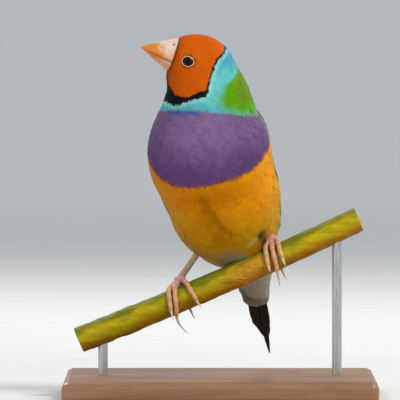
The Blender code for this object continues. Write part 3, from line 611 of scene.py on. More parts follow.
def mesh_points(mesh):
    flat = np.empty(len(mesh.vertices) * 3, np.float32)
    mesh.vertices.foreach_get("co", flat)
    return flat.reshape(-1, 3).astype(float) / MM


def set_points(mesh, points):
    mesh.vertices.foreach_set("co", (points * MM).astype(np.float32).ravel())
    mesh.update()


def mesh_normals(mesh):
    flat = np.empty(len(mesh.vertices) * 3, np.float32)
    mesh.vertices.foreach_get("normal", flat)
    return flat.reshape(-1, 3).astype(float)


def applied(obj):
    """Replaces an object's mesh by the result of its modifiers."""
    bpy.context.view_layer.update()
    graph = bpy.context.evaluated_depsgraph_get()
    done = bpy.data.meshes.new_from_object(obj.evaluated_get(graph))
    obj.modifiers.clear()
    before = obj.data
    obj.data = done
    bpy.data.meshes.remove(before)
    return obj


def remeshed(obj, size):
    step = obj.modifiers.new("remesh", "REMESH")
    step.mode = "VOXEL"
    step.voxel_size = size * MM
    return applied(obj)


def around(count):
    turns = 2 * math.pi * np.arange(count) / count
    return np.cos(turns)[:, None], np.sin(turns)[:, None]


def loft(rings, end_point=None):
    """Points and faces of a closed piece through rings, with flat ends or a pointed last one."""
    count = len(rings[0])
    points = np.concatenate(rings)
    i = np.arange(count)
    j = (i + 1) % count
    faces = []
    for k in range(len(rings) - 1):
        a = k * count
        faces += np.stack([a + i, a + j, a + count + j, a + count + i], 1).tolist()
    last = (len(rings) - 1) * count
    faces.append(list(reversed(range(count))))
    if end_point is not None:
        points = np.concatenate([points, [end_point]])
        faces += [(last + a, last + b, len(points) - 1) for a, b in zip(i.tolist(), j.tolist())]
    else:
        faces.append(list(range(last, last + count)))
    return points, faces


def path_frames(path, up):
    tangent = unit(np.gradient(np.asarray(path), axis=0))
    side = unit(np.cross(tangent, up))
    return tangent, side, np.cross(side, tangent)


def tube(path, wide, tall, sides, up, end_point=None):
    path = np.asarray(path)
    _, side, top = path_frames(path, up)
    c, s = around(sides)
    rings = [p + c * top[k] * tall[k] + s * side[k] * wide[k] for k, p in enumerate(path)]
    return loft(rings, end_point)


# Materials


def new_material(name, roughness=0.5, **settings):
    made = bpy.data.materials.new(name)
    made.use_nodes = True
    shader = made.node_tree.nodes["Principled BSDF"]
    shader.inputs["Roughness"].default_value = roughness
    for key, value in settings.items():
        shader.inputs[key.replace("_", " ")].default_value = value
    return made, made.node_tree, shader


def add(tree, kind, values=None, **properties):
    """A node with its properties and input values set."""
    made = tree.nodes.new(kind)
    for key, value in properties.items():
        setattr(made, key, value)
    for key, value in (values or {}).items():
        made.inputs[key].default_value = value
    return made


def noise_value(tree, coordinates, scale, detail=3.0, roughness=0.55, distortion=0.0):
    made = add(tree, "ShaderNodeTexNoise", {"Scale": scale, "Detail": detail, "Roughness": roughness,
                                            "Distortion": distortion})
    tree.links.new(coordinates, made.inputs["Vector"])
    return made.outputs["Fac"]


def ramp(tree, value, stops):
    """Maps a value to colours through stops of (place, linear colour)."""
    made = tree.nodes.new("ShaderNodeValToRGB")
    elements = made.color_ramp.elements
    while len(elements) > 1:
        elements.remove(elements[-1])
    elements[0].position = stops[0][0]
    elements[0].color = (*stops[0][1], 1.0)
    for at, colour in stops[1:]:
        element = elements.new(at)
        element.color = (*colour, 1.0)
    tree.links.new(value, made.inputs["Fac"])
    return made.outputs["Color"]


def mapped(tree, value, low, high, to_low, to_high):
    made = add(tree, "ShaderNodeMapRange", {"From Min": low, "From Max": high, "To Min": to_low,
                                            "To Max": to_high})
    tree.links.new(value, made.inputs["Value"])
    return made.outputs["Result"]


def mixed(tree, factor, a, b, how="MIX"):
    """A colour mix. The factor and both colours may be a socket or a value."""
    made = add(tree, "ShaderNodeMix", data_type="RGBA", blend_type=how)
    for socket, value in ((made.inputs[0], factor), (made.inputs[6], a), (made.inputs[7], b)):
        if isinstance(value, bpy.types.NodeSocket):
            tree.links.new(value, socket)
        else:
            socket.default_value = value if np.isscalar(value) else (*value, 1.0)
    return made.outputs[2]


def sum_of(tree, operation, a, b):
    made = add(tree, "ShaderNodeMath", operation=operation)
    for socket, value in zip(made.inputs, (a, b)):
        if isinstance(value, bpy.types.NodeSocket):
            tree.links.new(value, socket)
        else:
            socket.default_value = value
    return made.outputs[0]


def bump(tree, shader, height, distance, strength=1.0):
    made = add(tree, "ShaderNodeBump", {"Strength": strength, "Distance": distance * MM})
    tree.links.new(height, made.inputs["Height"])
    tree.links.new(made.outputs["Normal"], shader.inputs["Normal"])


def object_place(tree):
    return tree.nodes.new("ShaderNodeTexCoord").outputs["Object"]


def painted(tree):
    return add(tree, "ShaderNodeAttribute", attribute_name="tint").outputs["Color"]


def mottled(tree, scale, low, high, detail=3.0):
    """The painted colour times a fine noise between two strengths."""
    grain = noise_value(tree, object_place(tree), scale, detail)
    return mixed(tree, 1.0, painted(tree), mapped(tree, grain, 0.3, 0.7, low, high), "MULTIPLY")


def feather_material(name, roughness, sheen, barbs, depth, gloss):
    """Painted barbs that run out from a feather's shaft, by its UV map Vane: (along, across)."""
    made, tree, shader = new_material(name, roughness, Sheen_Weight=sheen, Sheen_Roughness=0.45,
                                      Specular_IOR_Level=gloss)
    where = object_place(tree)
    soft = mapped(tree, noise_value(tree, where, 420.0), 0.25, 0.75, 0.92, 1.07)
    colour = mixed(tree, 1.0, painted(tree), soft, "MULTIPLY")
    vane = add(tree, "ShaderNodeUVMap", uv_map="Vane").outputs["UV"]
    parts = tree.nodes.new("ShaderNodeSeparateXYZ")
    tree.links.new(vane, parts.inputs[0])
    aside = sum_of(tree, "ABSOLUTE", sum_of(tree, "SUBTRACT", parts.outputs["Y"], 0.5), 0.0)
    place_on = sum_of(tree, "SUBTRACT", parts.outputs["X"], sum_of(tree, "MULTIPLY", aside, 0.7))
    wobble = noise_value(tree, where, 1600.0, 2.0)
    place_on = sum_of(tree, "ADD", place_on, sum_of(tree, "MULTIPLY", wobble, 0.05))
    line = sum_of(tree, "SINE", sum_of(tree, "MULTIPLY", place_on, barbs * 2 * math.pi), 0.0)
    streak = mapped(tree, line, -1.0, 1.0, 0.9, 1.05)
    colour = mixed(tree, 1.0, colour, streak, "MULTIPLY")
    tree.links.new(colour, shader.inputs["Base Color"])
    bump(tree, shader, line, depth, 0.6)
    return made


def skin_material():
    made, tree, shader = new_material("plumage_skin", 0.8, Specular_IOR_Level=0.08)
    tree.links.new(mottled(tree, 900.0, 0.8, 1.0), shader.inputs["Base Color"])
    bump(tree, shader, noise_value(tree, object_place(tree), 1500.0), 0.12)
    return made


# Skin


def make_skin():
    """One closed skin under all the small feathers, from tail root to bill."""
    work = bmesh.new()
    for name, middle, radii in list(BODY_FORMS.values()) + list(HEAD_FORMS.values()):
        made = bmesh.ops.create_icosphere(work, subdivisions=4, radius=1.0)
        axes = FRAMES[name][0]
        at = place(name, *middle)
        shrink = np.array(radii) - SKIN_INSET
        for vert in made["verts"]:
            vert.co = ((np.array(vert.co) * shrink) @ axes + at) * MM
    mesh = bpy.data.meshes.new("skin")
    work.to_mesh(mesh)
    work.free()
    obj = bpy.data.objects.new("skin", mesh)
    bpy.context.scene.collection.objects.link(obj)
    remeshed(obj, SKIN_GRAIN)
    points = mesh_points(obj.data)
    for _ in range(2):
        points = settle(points, -coat_depth(points) + np.minimum(relief(points), SKIN_RISE))
    set_points(obj.data, points)
    paint(obj.data, plumage(points, 0.4))
    return finish_piece(obj, skin_material(), ("torso", "neck", "head"))


# Where feathers root


def in_bill(points):
    """Whether points lie on the bill's seat."""
    q = local("head", points)
    high = (q[..., 2] - (CULMEN_BASE_DOWN + GONYS_BASE_DOWN) / 2) / 4.7
    return (q[..., 0] > FACE_AT - 1.6) & (np.hypot(q[..., 1] / 3.7, high) < 1.0)


def from_eyes(points):
    return np.min([np.linalg.norm(points - m, axis=-1) for m, _ in EYES.values()], axis=0)


def under_wing(points):
    """1 where a wing covers the body, 0 elsewhere."""
    along, turn = body_place(points)
    t = (WING_FRONT - along) / (WING_FRONT - WING_REAR)
    top = WING_TOP_TURN_FRONT + t * (WING_TOP_TURN_REAR - WING_TOP_TURN_FRONT)
    wide = (np.abs(turn) > coat_limit(along)) & (np.abs(turn) < top - 8)
    return wide & (along < WING_FRONT - 4) & (along > WING_REAR - 4)


def scatter(skin, spacing, weight, seed):
    """Evenly spread random points on the skin, thinned by a weight for each of its vertices."""
    mesh = skin.data
    layer = mesh.attributes.get("thin") or mesh.attributes.new("thin", "FLOAT", "POINT")
    layer.data.foreach_set("value", weight.astype(np.float32))
    group = bpy.data.node_groups.new("scatter", "GeometryNodeTree")
    group.interface.new_socket("in", in_out="INPUT", socket_type="NodeSocketGeometry")
    group.interface.new_socket("out", in_out="OUTPUT", socket_type="NodeSocketGeometry")
    enter = group.nodes.new("NodeGroupInput")
    leave = group.nodes.new("NodeGroupOutput")
    spread = group.nodes.new("GeometryNodeDistributePointsOnFaces")
    spread.distribute_method = "POISSON"
    spread.inputs["Distance Min"].default_value = spacing * MM
    spread.inputs["Density Max"].default_value = 3.0 / (spacing * MM) ** 2
    spread.inputs["Seed"].default_value = seed
    thin = group.nodes.new("GeometryNodeInputNamedAttribute")
    thin.data_type = "FLOAT"
    thin.inputs["Name"].default_value = "thin"
    dots = group.nodes.new("GeometryNodePointsToVertices")
    group.links.new(enter.outputs[0], spread.inputs["Mesh"])
    group.links.new(thin.outputs["Attribute"], spread.inputs["Density Factor"])
    group.links.new(spread.outputs["Points"], dots.inputs["Points"])
    group.links.new(dots.outputs["Mesh"], leave.inputs[0])
    step = skin.modifiers.new("scatter", "NODES")
    step.node_group = group
    bpy.context.view_layer.update()
    graph = bpy.context.evaluated_depsgraph_get()
    found = bpy.data.meshes.new_from_object(skin.evaluated_get(graph))
    points = mesh_points(found)
    bpy.data.meshes.remove(found)
    skin.modifiers.clear()
    bpy.data.node_groups.remove(group)
    return points


# Unwrap of the skin along its bent middle line, for the bake map

AXIS = np.array([place("tail", 30.0, 0.0, 0.3), place("tail", 0.0, 0.0, 0.0), spine(-24.0),
                 spine(0.0), spine(19.0), HEAD_LOW, HEAD_LOW + 18.0 * unit(HEAD_LOW_NORMAL)])


def unwrap(points):
    lengths = np.linalg.norm(np.diff(AXIS, axis=0), axis=1)
    starts = np.concatenate([[0.0], np.cumsum(lengths)])
    best = np.full(len(points), 1e9)
    uv = np.zeros((len(points), 2))
    belly = FRAMES["body"][0][2]
    for k, (a, b) in enumerate(zip(AXIS, AXIS[1:])):
        way = (b - a) / lengths[k]
        t = np.clip((points - a) @ way, 0.0, lengths[k])
        d = points - a - t[:, None] * way
        gap = np.linalg.norm(d, axis=1)
        front = unit(belly - (belly @ way) * way)
        side = np.cross(way, front)
        turn = np.arctan2(d @ side, d @ front) / (2 * math.pi) + 0.5
        nearer = gap < best
        best = np.where(nearer, gap, best)
        v = (starts[k] + t) / starts[-1]
        uv[nearer] = np.stack([turn, v], 1)[nearer]
    return 0.004 + 0.992 * uv


# Small feathers


def tuft_template(teeth, notch):
    """A thin closed vane with a frayed tip: (along, across, height), faces, and its loose tips."""
    tips = np.linspace(-0.86, 0.86, teeth)
    outline = [(0.0, -0.3), (0.26, -0.76), (0.52, -0.98)]
    loose = []
    for k, w in enumerate(tips):
        loose.append(len(outline))
        outline.append((0.68 + 0.32 * math.sqrt(1.0 - w * w), w))
        if k < teeth - 1:
            v = (w + tips[k + 1]) / 2
            reach = 0.04 + 0.32 * math.sqrt(1.0 - v * v)
            outline.append((0.64 + (1.0 - notch) * reach, (1.0 - notch) * v))
    outline += [(0.52, 0.98), (0.26, 0.76), (0.0, 0.3)]
    count = len(outline)
    points = [(s, w, 0.0) for s, w in outline]
    faces = []
    for height, flip in ((0.03, True), (-0.012, False)):
        low, high = len(points), len(points) + 1
        points += [(0.3, 0.0, height), (0.64, 0.0, height)]
        owners = []
        for i in range(count):
            j = (i + 1) % count
            owners.append(low if (outline[i][0] + outline[j][0]) / 2 < 0.45 else high)
            faces.append((i, owners[-1], j) if not flip else (i, j, owners[-1]))
        for i in range(count):
            before, after = owners[i - 1], owners[i]
            if before != after:
                faces.append((i, before, after) if not flip else (i, after, before))
    return np.array(points), np.array(faces), loose


def lay_tufts(roots, length, width, root_lift, tip_lift, ways, template, roll=0.0):
    """Vertices of one vane for each root, bent along the surface from the root to the tip."""
    cup, jitter = 0.035, 0.03
    form, faces, loose = template
    count, size = len(roots), len(form)
    start = settle(roots, root_lift)
    n0 = unit(gradient(start))
    w0 = ways(start, n0)
    middle = settle(start + w0 * (length * 0.5)[:, None], root_lift + 0.74 * (tip_lift - root_lift))
    n1 = unit(gradient(middle))
    w1 = ways(middle, n1)
    end = settle(middle + w1 * (length * 0.5)[:, None], tip_lift)
    n2 = unit(gradient(end))
    s = np.repeat(form[None, :, 0], count, 0)
    w = np.repeat(form[None, :, 1], count, 0)
    s[:, loose] += RNG.normal(0, jitter, (count, len(loose)))
    w[:, loose] += RNG.normal(0, jitter, (count, len(loose)))
    bases = np.stack([(1 - s) * (1 - 2 * s), 4 * s * (1 - s), s * (2 * s - 1)], -1)
    path = np.einsum("nsk,nkd->nsd", bases, np.stack([start, middle, end], 1))
    normals = unit(np.einsum("nsk,nkd->nsd", bases, np.stack([n0, n1, n2], 1)))
    tangents = np.stack([middle - start, end - start, end - middle], 1)
    tangents = unit(np.einsum("nsk,nkd->nsd", bases, tangents))
    across = unit(np.cross(normals, tangents))
    half = (width / 2)[:, None]
    rise = form[None, :, 2] * width[:, None] - cup * w**2 * half + np.reshape(roll, (-1, 1)) * half * w
    points = path + across * (w * half)[..., None] + normals * rise[..., None]
    return points.reshape(-1, 3), s, w, normals.reshape(-1, 3), (count, size, faces)


def tuft_pieces(name, roots, laid, colours, material):
    """Joins vanes to pieces below the limit of triangles, with their maps and painted colours."""
    points, s, w, normals, (count, size, faces) = laid
    share = MOST_TRIANGLES // len(faces)
    patch = unwrap(roots)
    pieces = max(1, math.ceil(count / share))
    bounds = np.linspace(0, count, pieces + 1).astype(int)
    for k, (a, b) in enumerate(zip(bounds, bounds[1:])):
        n = b - a
        chosen = points.reshape(count, size, 3)[a:b].reshape(-1, 3)
        tris = (faces[None] + size * np.arange(n)[:, None, None]).reshape(-1, 3)
        obj = raw_object(name if pieces == 1 else f"{name}_{k + 1}", chosen, tris.tolist())
        flat_s, flat_w = s[a:b].ravel(), w[a:b].ravel()
        bake = np.repeat(patch[a:b], size, 0)
        bake = bake + PATCH * np.stack([flat_w * 0.5, flat_s - 0.5], 1)
        lay_uv(obj.data, "OFBake", np.clip(bake, 0.0005, 0.9995))
        lay_uv(obj.data, "Vane", np.stack([flat_s, flat_w * 0.5 + 0.5], 1))
        paint(obj.data, colours.reshape(count, size, 3)[a:b].reshape(-1, 3))
        finish_piece(obj, material)
        facing = np.ones((n, size, 1))
        facing[:, -2:] = -1.0
        outward = normals.reshape(count, size, 3)[a:b] * facing
        soften(obj.data, outward.reshape(-1, 3), SOFTNESS)


def soften(mesh, normals, weight):
    """Leans the vertex normals towards the surface's own, so that plumage shades softly."""
    leaned = unit(mesh_normals(mesh) * (1 - weight) + normals * weight)
    mesh.normals_split_custom_set_from_vertices(leaned.tolist())


def tufts(name, roots, length, width, depth, material, template, tip_lift, shade):
    """A cover of small feathers in the colours of the plumage where their tips lie."""
    count = len(roots)
    length = length * RNG.uniform(0.85, 1.12, count)
    width = width * RNG.uniform(0.88, 1.1, count)
    swerve = RNG.normal(0, 0.11, count)

    def ways(points, normals):
        way = flow(points, normals)
        return unit(way + np.cross(normals, way) * swerve[:, None])

    ahead = flow(roots, unit(gradient(roots)))
    reached = settle(roots + 0.95 * length[:, None] * ahead, 0.0, 2)
    halfway = (roots + reached) / 2
    across = np.cross(unit(gradient(halfway)), ahead)
    roll = (relief(halfway + across) - relief(halfway - across)) / 2
    tips = tip_lift + relief(reached) + RNG.normal(0, 0.008, count) * depth
    laid = lay_tufts(roots, length, width, relief(roots) - depth, tips, ways, template, roll)
    points, s = laid[0], laid[1]
    size = laid[4][1]
    spots = points.reshape(count, size, 3)
    seen = spots[:, np.argmin(np.abs(template[0][:, 0] - 0.85))]
    own = ((seen + spots.mean(1)) / 2)[:, None]
    base = plumage((0.5 * own + 0.5 * spots).reshape(-1, 3)).reshape(spots.shape)
    tone = RNG.normal(1.0, shade, (count, 1, 1))
    warmth = RNG.normal(0.0, shade * 0.35, (count, 1, 1)) * np.array([1.0, 0.0, -1.0])
    along = (0.9 + 0.1 * smooth_step(0.1, 0.7, s))[..., None]
    fringe = (1.0 + 0.05 * smooth_step(0.8, 1.0, s))[..., None]
    colours = base * tone * (1 + warmth) * along * fringe
    tuft_pieces(name, roots, laid, np.clip(colours, 0, 1).reshape(-1, 3), material)


def make_coat(skin):
    verts = mesh_points(skin.data)
    face, head, neck = zones(verts)
    clear = (~in_bill(verts)) & (from_eyes(verts) > EYE_CLEAR)
    below = (1 - neck) * (local("tail", verts)[:, 0] < COAT_END) * (~under_wing(verts))
    silk = feather_material("body_plumage", 0.6, 0.01, 12.0, 0.02, 0.05)
    velvet = feather_material("head_plumage", 0.65, 0.01, 7.0, 0.012, 0.04)
    fine, coarse = tuft_template(7, 0.2), tuft_template(10, 0.16)
    looks = {
        "face_feathers": (np.clip(face * 1.2, 0, 1) * clear, velvet, "head_feathers", fine),
        "head_coat": (np.clip(head * (1 - face * 1.1), 0, 1) * clear, velvet, "head_feathers", fine),
        "neck_coat": (neck * (1 - head), silk, "neck_feathers", coarse),
        "body_coat": (below, silk, "body_feathers", coarse),
    }
    for seed, (name, numbers) in enumerate(COATS.items(), 1):
        zone, spacing, short, growth, spread, depth, lift, shade = numbers
        weights, material, slot, template = looks[name]
        roots = scatter(skin, spacing, weights, seed)
        roots = roots[from_eyes(roots) > EYE_BARE]
        length = short + growth * (1 - zones(roots)[zone])
        tufts(name, roots, eye_length(roots, length), spread * length, depth, material,
              template, lift, shade)


def eye_length(roots, length):
    """Shorter feathers where they would run over an eye's bare ring."""
    length = length.copy()
    normals = unit(gradient(roots))
    way = flow(roots, normals)
    for middle, _ in EYES.values():
        to = middle - roots
        ahead = (to * way).sum(-1)
        off = np.sqrt(np.maximum((to**2).sum(-1) - ahead**2, 0.0))
        reach = ahead - np.sqrt(np.maximum(EYE_REACH**2 - np.minimum(off, EYE_REACH) ** 2, 0.0))
        hits = (ahead > 0) & (off < EYE_REACH)
        length = np.where(hits, np.clip(np.minimum(length, reach), 0.4, None), length)
    return length


# Bill


def bill_material(name):
    made, tree, shader = new_material(name, 0.36, Specular_IOR_Level=0.3, Subsurface_Weight=0.1,
                                      Subsurface_Scale=0.0006)
    where = object_place(tree)
    tree.links.new(mottled(tree, 700.0, 0.88, 1.08, 4.0), shader.inputs["Base Color"])
    tree.links.new(mapped(tree, noise_value(tree, where, 1100.0), 0.3, 0.7, 0.28, 0.45),
                   shader.inputs["Roughness"])
    bump(tree, shader, noise_value(tree, where, 1800.0, 4.0), 0.03, 0.5)
    return made


BILL_IVORY, BILL_ORANGE, BILL_ROSE = rgb(208, 188, 168), rgb(204, 118, 6), rgb(206, 146, 100)
BILL_HORN = rgb(200, 156, 84)


def make_mandible(name, upper, node):
    """Half of the bill, from inside the face to its tip."""
    tip_ahead, tip_down = BILL_TIP
    if not upper:
        tip_ahead -= 0.5
    turns = np.linspace(0.0, math.pi, 33)
    stations = np.concatenate([[-0.06, 0.0], np.linspace(0.03, 0.93, 34), [0.955, 0.975, 0.99]])
    rings = []
    for t in stations:
        u = max(t, 0.0)
        mouth = GAPE_BASE_DOWN + u * (tip_down - GAPE_BASE_DOWN)
        mouth += 0.22 * math.sin(math.pi * min(1.0, u * 1.6)) * (1 - u)
        crest_base = CULMEN_BASE_DOWN if upper else GONYS_BASE_DOWN
        bulge = (0.9 if upper else 0.5) * u * (1 - u) * (-1 if upper else 1)
        crest = crest_base + u * (tip_down - crest_base) + bulge
        mouth += -0.05 if upper else 0.05
        width = BILL_HALF_WIDTH * (1 - u) * (1 + 0.35 * u) * (1.0 if upper else 0.93)
        left = width * np.cos(turns)
        full = np.sin(turns)
        down = mouth + (crest - mouth) * full**0.82
        ridge = 0.12 * (1 - u) * bell(turns - math.pi / 2, 0.16)
        down += ridge * (-1 if upper else 1)
        base = FACE_AT + FACE_LEAN * down + GAP
        ahead = base + t * (tip_ahead - base)
        rings.append(place("head", ahead, left, down))
    tip = head_at(tip_ahead, 0.0, tip_down + (-0.05 if upper else 0.05))
    points, faces = loft(rings, tip)
    obj = raw_object(name, points, faces)
    points = mesh_points(obj.data)
    q = local("head", points)
    t = np.clip((q[:, 0] - 9.0) / (BILL_TIP[0] - 9.0), 0, 1)
    mottle = WAVES[1](points, 2.4) * 0.05
    if upper:
        high = np.clip((0.9 - 2.4 * t - q[:, 2]) / (7.0 * (1 - t) + 0.6), 0, 1)
        orange = smooth_step(-0.14, 0.14, t - 0.21 - 0.34 * high + mottle)
        rose = 0.75 * smooth_step(0.5, 0.0, high) + 0.25 * smooth_step(0.1, 0.4, t)
        colours = mix(BILL_IVORY, BILL_ROSE, np.clip(rose, 0, 1))
        colours = mix(colours, BILL_ORANGE, 0.95 * orange)
        colours = mix(colours, BILL_HORN, 0.4 * smooth_step(0.86, 1.0, t))
        # painted shade: the nostril pits are darkened, over the dent made below
        pits = from_nostrils(points)
        colours = colours * (1 - 0.75 * edge(pits - 0.42, 0.2))[:, None]
    else:
        orange = smooth_step(0.2, 0.46, t + mottle)
        colours = mix(BILL_IVORY, BILL_ROSE, np.full(len(t), 0.85))
        colours = mix(colours, BILL_ORANGE, 0.9 * orange)
        colours = mix(colours, BILL_HORN, 0.5 * smooth_step(0.85, 1.0, t))
    paint(obj.data, np.clip(colours, 0, 1))
    if upper:
        normals = mesh_normals(obj.data)
        sink = 0.35 * edge(from_nostrils(points) - 0.3, 0.35)
        set_points(obj.data, points - normals * sink[:, None])
    finish_piece(obj, bill_material(name), (node,))


def from_nostrils(points):
    spots = [head_at(FACE_AT + 0.35, side * 2.75, -4.3) for side in (1, -1)]
    return np.min([np.linalg.norm(points - spot, axis=-1) for spot in spots], axis=0)


# Eyes


def eye_material():
    made, tree, shader = new_material("eye_brown", 0.06, Coat_Weight=0.1, Coat_Roughness=0.02,
                                      Specular_IOR_Level=0.08)
    tree.links.new(mottled(tree, 2400.0, 0.6, 1.3, 4.0), shader.inputs["Base Color"])
    return made


def ring_material():
    made, tree, shader = new_material("eye_ring", 0.5, Subsurface_Weight=0.15,
                                      Subsurface_Scale=0.0006)
    grain = noise_value(tree, object_place(tree), 2600.0, 3.0)
    colour = ramp(tree, grain, [(0.3, rgb(182, 138, 106)), (0.7, rgb(214, 178, 148))])
    tree.links.new(colour, shader.inputs["Base Color"])
    bump(tree, shader, grain, 0.06)
    return made


def make_eyes():
    wet, ring = eye_material(), ring_material()
    for name, (middle, outward) in EYES.items():
        ahead = FRAMES["head"][0][0]
        forward = unit(ahead - (ahead @ outward) * outward)
        top = np.cross(outward, forward) if name == "left" else np.cross(forward, outward)
        # Eyeball, with a swelling cornea
        rows, sides = 26, 40
        c, s = around(sides)
        rings = []
        for q in np.radians(np.linspace(3.0, 176.0, rows)):
            swell = 1.0 + 0.05 * math.exp(-(q / 0.42) ** 2)
            spoke = EYE_RADIUS * math.sin(q) * (c * forward + s * top)
            rings.append(middle + spoke + EYE_RADIUS * math.cos(q) * swell * outward)
        points, faces = loft(rings)
        obj = raw_object("eyeball_" + name, points, faces)
        at = unit(mesh_points(obj.data) - middle)
        angle = np.degrees(np.arccos(np.clip(at @ outward, -1, 1)))
        pupil = edge(angle - 21.0, 3.0)
        iris = mix(IRIS_INNER, IRIS_OUTER, smooth_step(34, 46, angle))
        paint(obj.data, mix(iris, PUPIL, pupil))
        finish_piece(obj, wet, ("eye_" + name,))
        # The bare ring of both lids, beaded, with corners
        count, across_count = 84, 12
        c, s = around(count)
        turns = 2 * math.pi * np.arange(count) / count
        corner = 0.12 * np.abs(np.cos(turns)) ** 8
        beads = 1.0 + 0.07 * np.cos(turns * 21) + 0.05 * RNG.normal(size=count)
        spokes = c * forward + s * top
        radius = np.hypot(LID_RADII[0] * c[:, 0], LID_RADII[1] * s[:, 0]) + corner
        rise = np.sqrt(np.maximum(EYE_RADIUS**2 - radius**2, 0.0)) + 0.1
        rings = []
        for q in 2 * math.pi * np.arange(across_count) / across_count:
            out = radius + 0.86 * LID_THICKNESS * math.cos(q) * beads
            up = rise + 0.62 * LID_THICKNESS * math.sin(q) * beads - 0.25 * (out - radius)
            rings.append(middle + spokes * out[:, None] + outward * up[:, None])
        points = np.concatenate(rings)
        faces = []
        i = np.arange(count)
        for k in range(across_count):
            a, b = k * count, (k + 1) % across_count * count
            j = (i + 1) % count
            faces += np.stack([a + i, a + j, b + j, b + i], 1).tolist()
        lid = raw_object("eye_ring_" + name, points, faces)
        outward_faces(lid)
        finish_piece(lid, ring)


def outward_faces(obj):
    work = bmesh.new()
    work.from_mesh(obj.data)
    bmesh.ops.recalc_face_normals(work, faces=work.faces)
    work.to_mesh(obj.data)
    work.free()


# Wings and tail: large feathers

STATIONS = np.linspace(0.0, 1.0, 15)
ACROSS = np.array([-1.0, -0.82, -0.45, -0.12, 0.0, 0.12, 0.45, 0.82, 1.0])


def slab(outer, inner):
    """Points and faces of a closed piece between two grids of points, joined at their rims."""
    rows, columns = outer.shape[:2]
    points = np.concatenate([outer.reshape(-1, 3), inner.reshape(-1, 3)])
    n = rows * columns
    faces = []
    for i in range(rows - 1):
        for j in range(columns - 1):
            a = i * columns + j
            b, c, d = a + 1, a + columns + 1, a + columns
            faces += [(a, b, c, d), (n + a, n + d, n + c, n + b)]
    loop = list(range(columns)) + [i * columns + columns - 1 for i in range(1, rows)]
    loop += [(rows - 1) * columns + j for j in range(columns - 2, -1, -1)]
    loop += [i * columns for i in range(rows - 2, 0, -1)]
    for a, b in zip(loop, loop[1:] + loop[:1]):
        faces.append((a, n + a, n + b, b))
    return points, faces


def outline_width(kind, s):
    """Half width along a large feather, as a share of its greatest."""
    if kind == "sharp":
        tip = np.clip((1 - s) / 0.5, 0, 1) ** 0.75
    else:
        tip = np.sqrt(np.clip(1 - (np.clip(s - 0.72, 0, 1) / 0.28) ** 2, 0, 1))
    return (0.55 + 0.45 * smooth_step(0.0, 0.35, s)) * np.maximum(tip, 0.05)


def large_feather(path, normals, width, kind, tilt, thickness):
    """Points and faces of a closed vane with a raised shaft, from a path with normals."""
    tangent = unit(np.gradient(path, axis=0))
    across = unit(np.cross(normals, tangent))
    s = STATIONS
    half = outline_width(kind, s) * width / 2
    ragged = 1.0 + RNG.normal(0, 0.025, (len(s), 2))
    ragged[RNG.integers(5, len(s) - 2), RNG.integers(0, 2)] *= 0.86
    w = np.repeat(ACROSS[None], len(s), 0)
    w[:, 0] *= ragged[:, 0]
    w[:, -1] *= ragged[:, 1]
    reach = w * half[:, None]
    fade = np.clip(s / 0.3, 0, 1)[:, None]
    rise = reach * tilt * fade - 0.22 * (w**2) * half[:, None]
    shaft = 0.09 * bell(w, 0.1) * (1 - 0.75 * s[:, None])
    body = thickness * (1 - 0.75 * w**2) * (1 - 0.5 * s[:, None])
    middle = path[:, None] + across[:, None] * reach[..., None] + normals[:, None] * rise[..., None]
    top = middle + normals[:, None] * (body / 2 + shaft)[..., None]
    under = middle - normals[:, None] * (body / 2)[..., None]
    columns = w.shape[1]
    points, faces = slab(top, under)
    s_all = np.tile(np.repeat(s, columns), 2)
    w_all = np.tile(w.reshape(-1), 2)
    return points, faces, s_all, w_all


class Sheaf:
    """Large feathers gathered into one piece."""

    def __init__(self):
        self.points, self.faces, self.s, self.w, self.colours = [], [], [], [], []
        self.total = 0

    def add(self, shape, colour):
        points, faces, s, w = shape
        self.points.append(points)
        self.faces += [tuple(v + self.total for v in f) for f in faces]
        self.total += len(points)
        self.s.append(s)
        self.w.append(w)
        self.colours.append(colour(s, w, points) * RNG.normal(1.0, 0.05))

    def build(self, name, material, nodes=()):
        obj = raw_object(name, np.concatenate(self.points), self.faces)
        cells = math.ceil(math.sqrt(len(self.points)))
        bake = []
        for k, (s, w) in enumerate(zip(self.s, self.w)):
            corner = np.array([k % cells, k // cells])
            inside = np.stack([0.5 + 0.42 * w, 0.04 + 0.92 * s], 1)
            bake.append((corner + inside) / cells)
        lay_uv(obj.data, "OFBake", np.concatenate(bake))
        s, w = np.concatenate(self.s), np.concatenate(self.w)
        lay_uv(obj.data, "Vane", np.stack([s, w * 0.5 + 0.5], 1))
        paint(obj.data, np.clip(np.concatenate(self.colours), 0, 1))
        outward_faces(obj)
        finish_piece(obj, material, nodes)


def edged(inner, rim, rim_at, side=0):
    """A colouring with a paler rim, on both edges or on one side only."""

    def colour(s, w, points):
        reach = np.abs(w) if side == 0 else np.clip(w * side, 0, 1)
        base = mix(inner, rim, smooth_step(rim_at - 0.12, rim_at, reach))
        shaft = bell(w, 0.09)
        base = base * (1 - 0.35 * shaft)[:, None]
        # painted rim light: wing feathers are paler where they lie along the flank's edge
        along, turn = body_place(points)
        near = edge(np.abs(turn) - 109.0, 5.0) * smooth_step(-22.0, -14.0, along)
        base = mix(base, PAINTED_WING_RIM_LIGHT, 0.75 * near)
        return base * (0.92 + 0.12 * WAVES[3](points, 1.6))[:, None]

    return colour


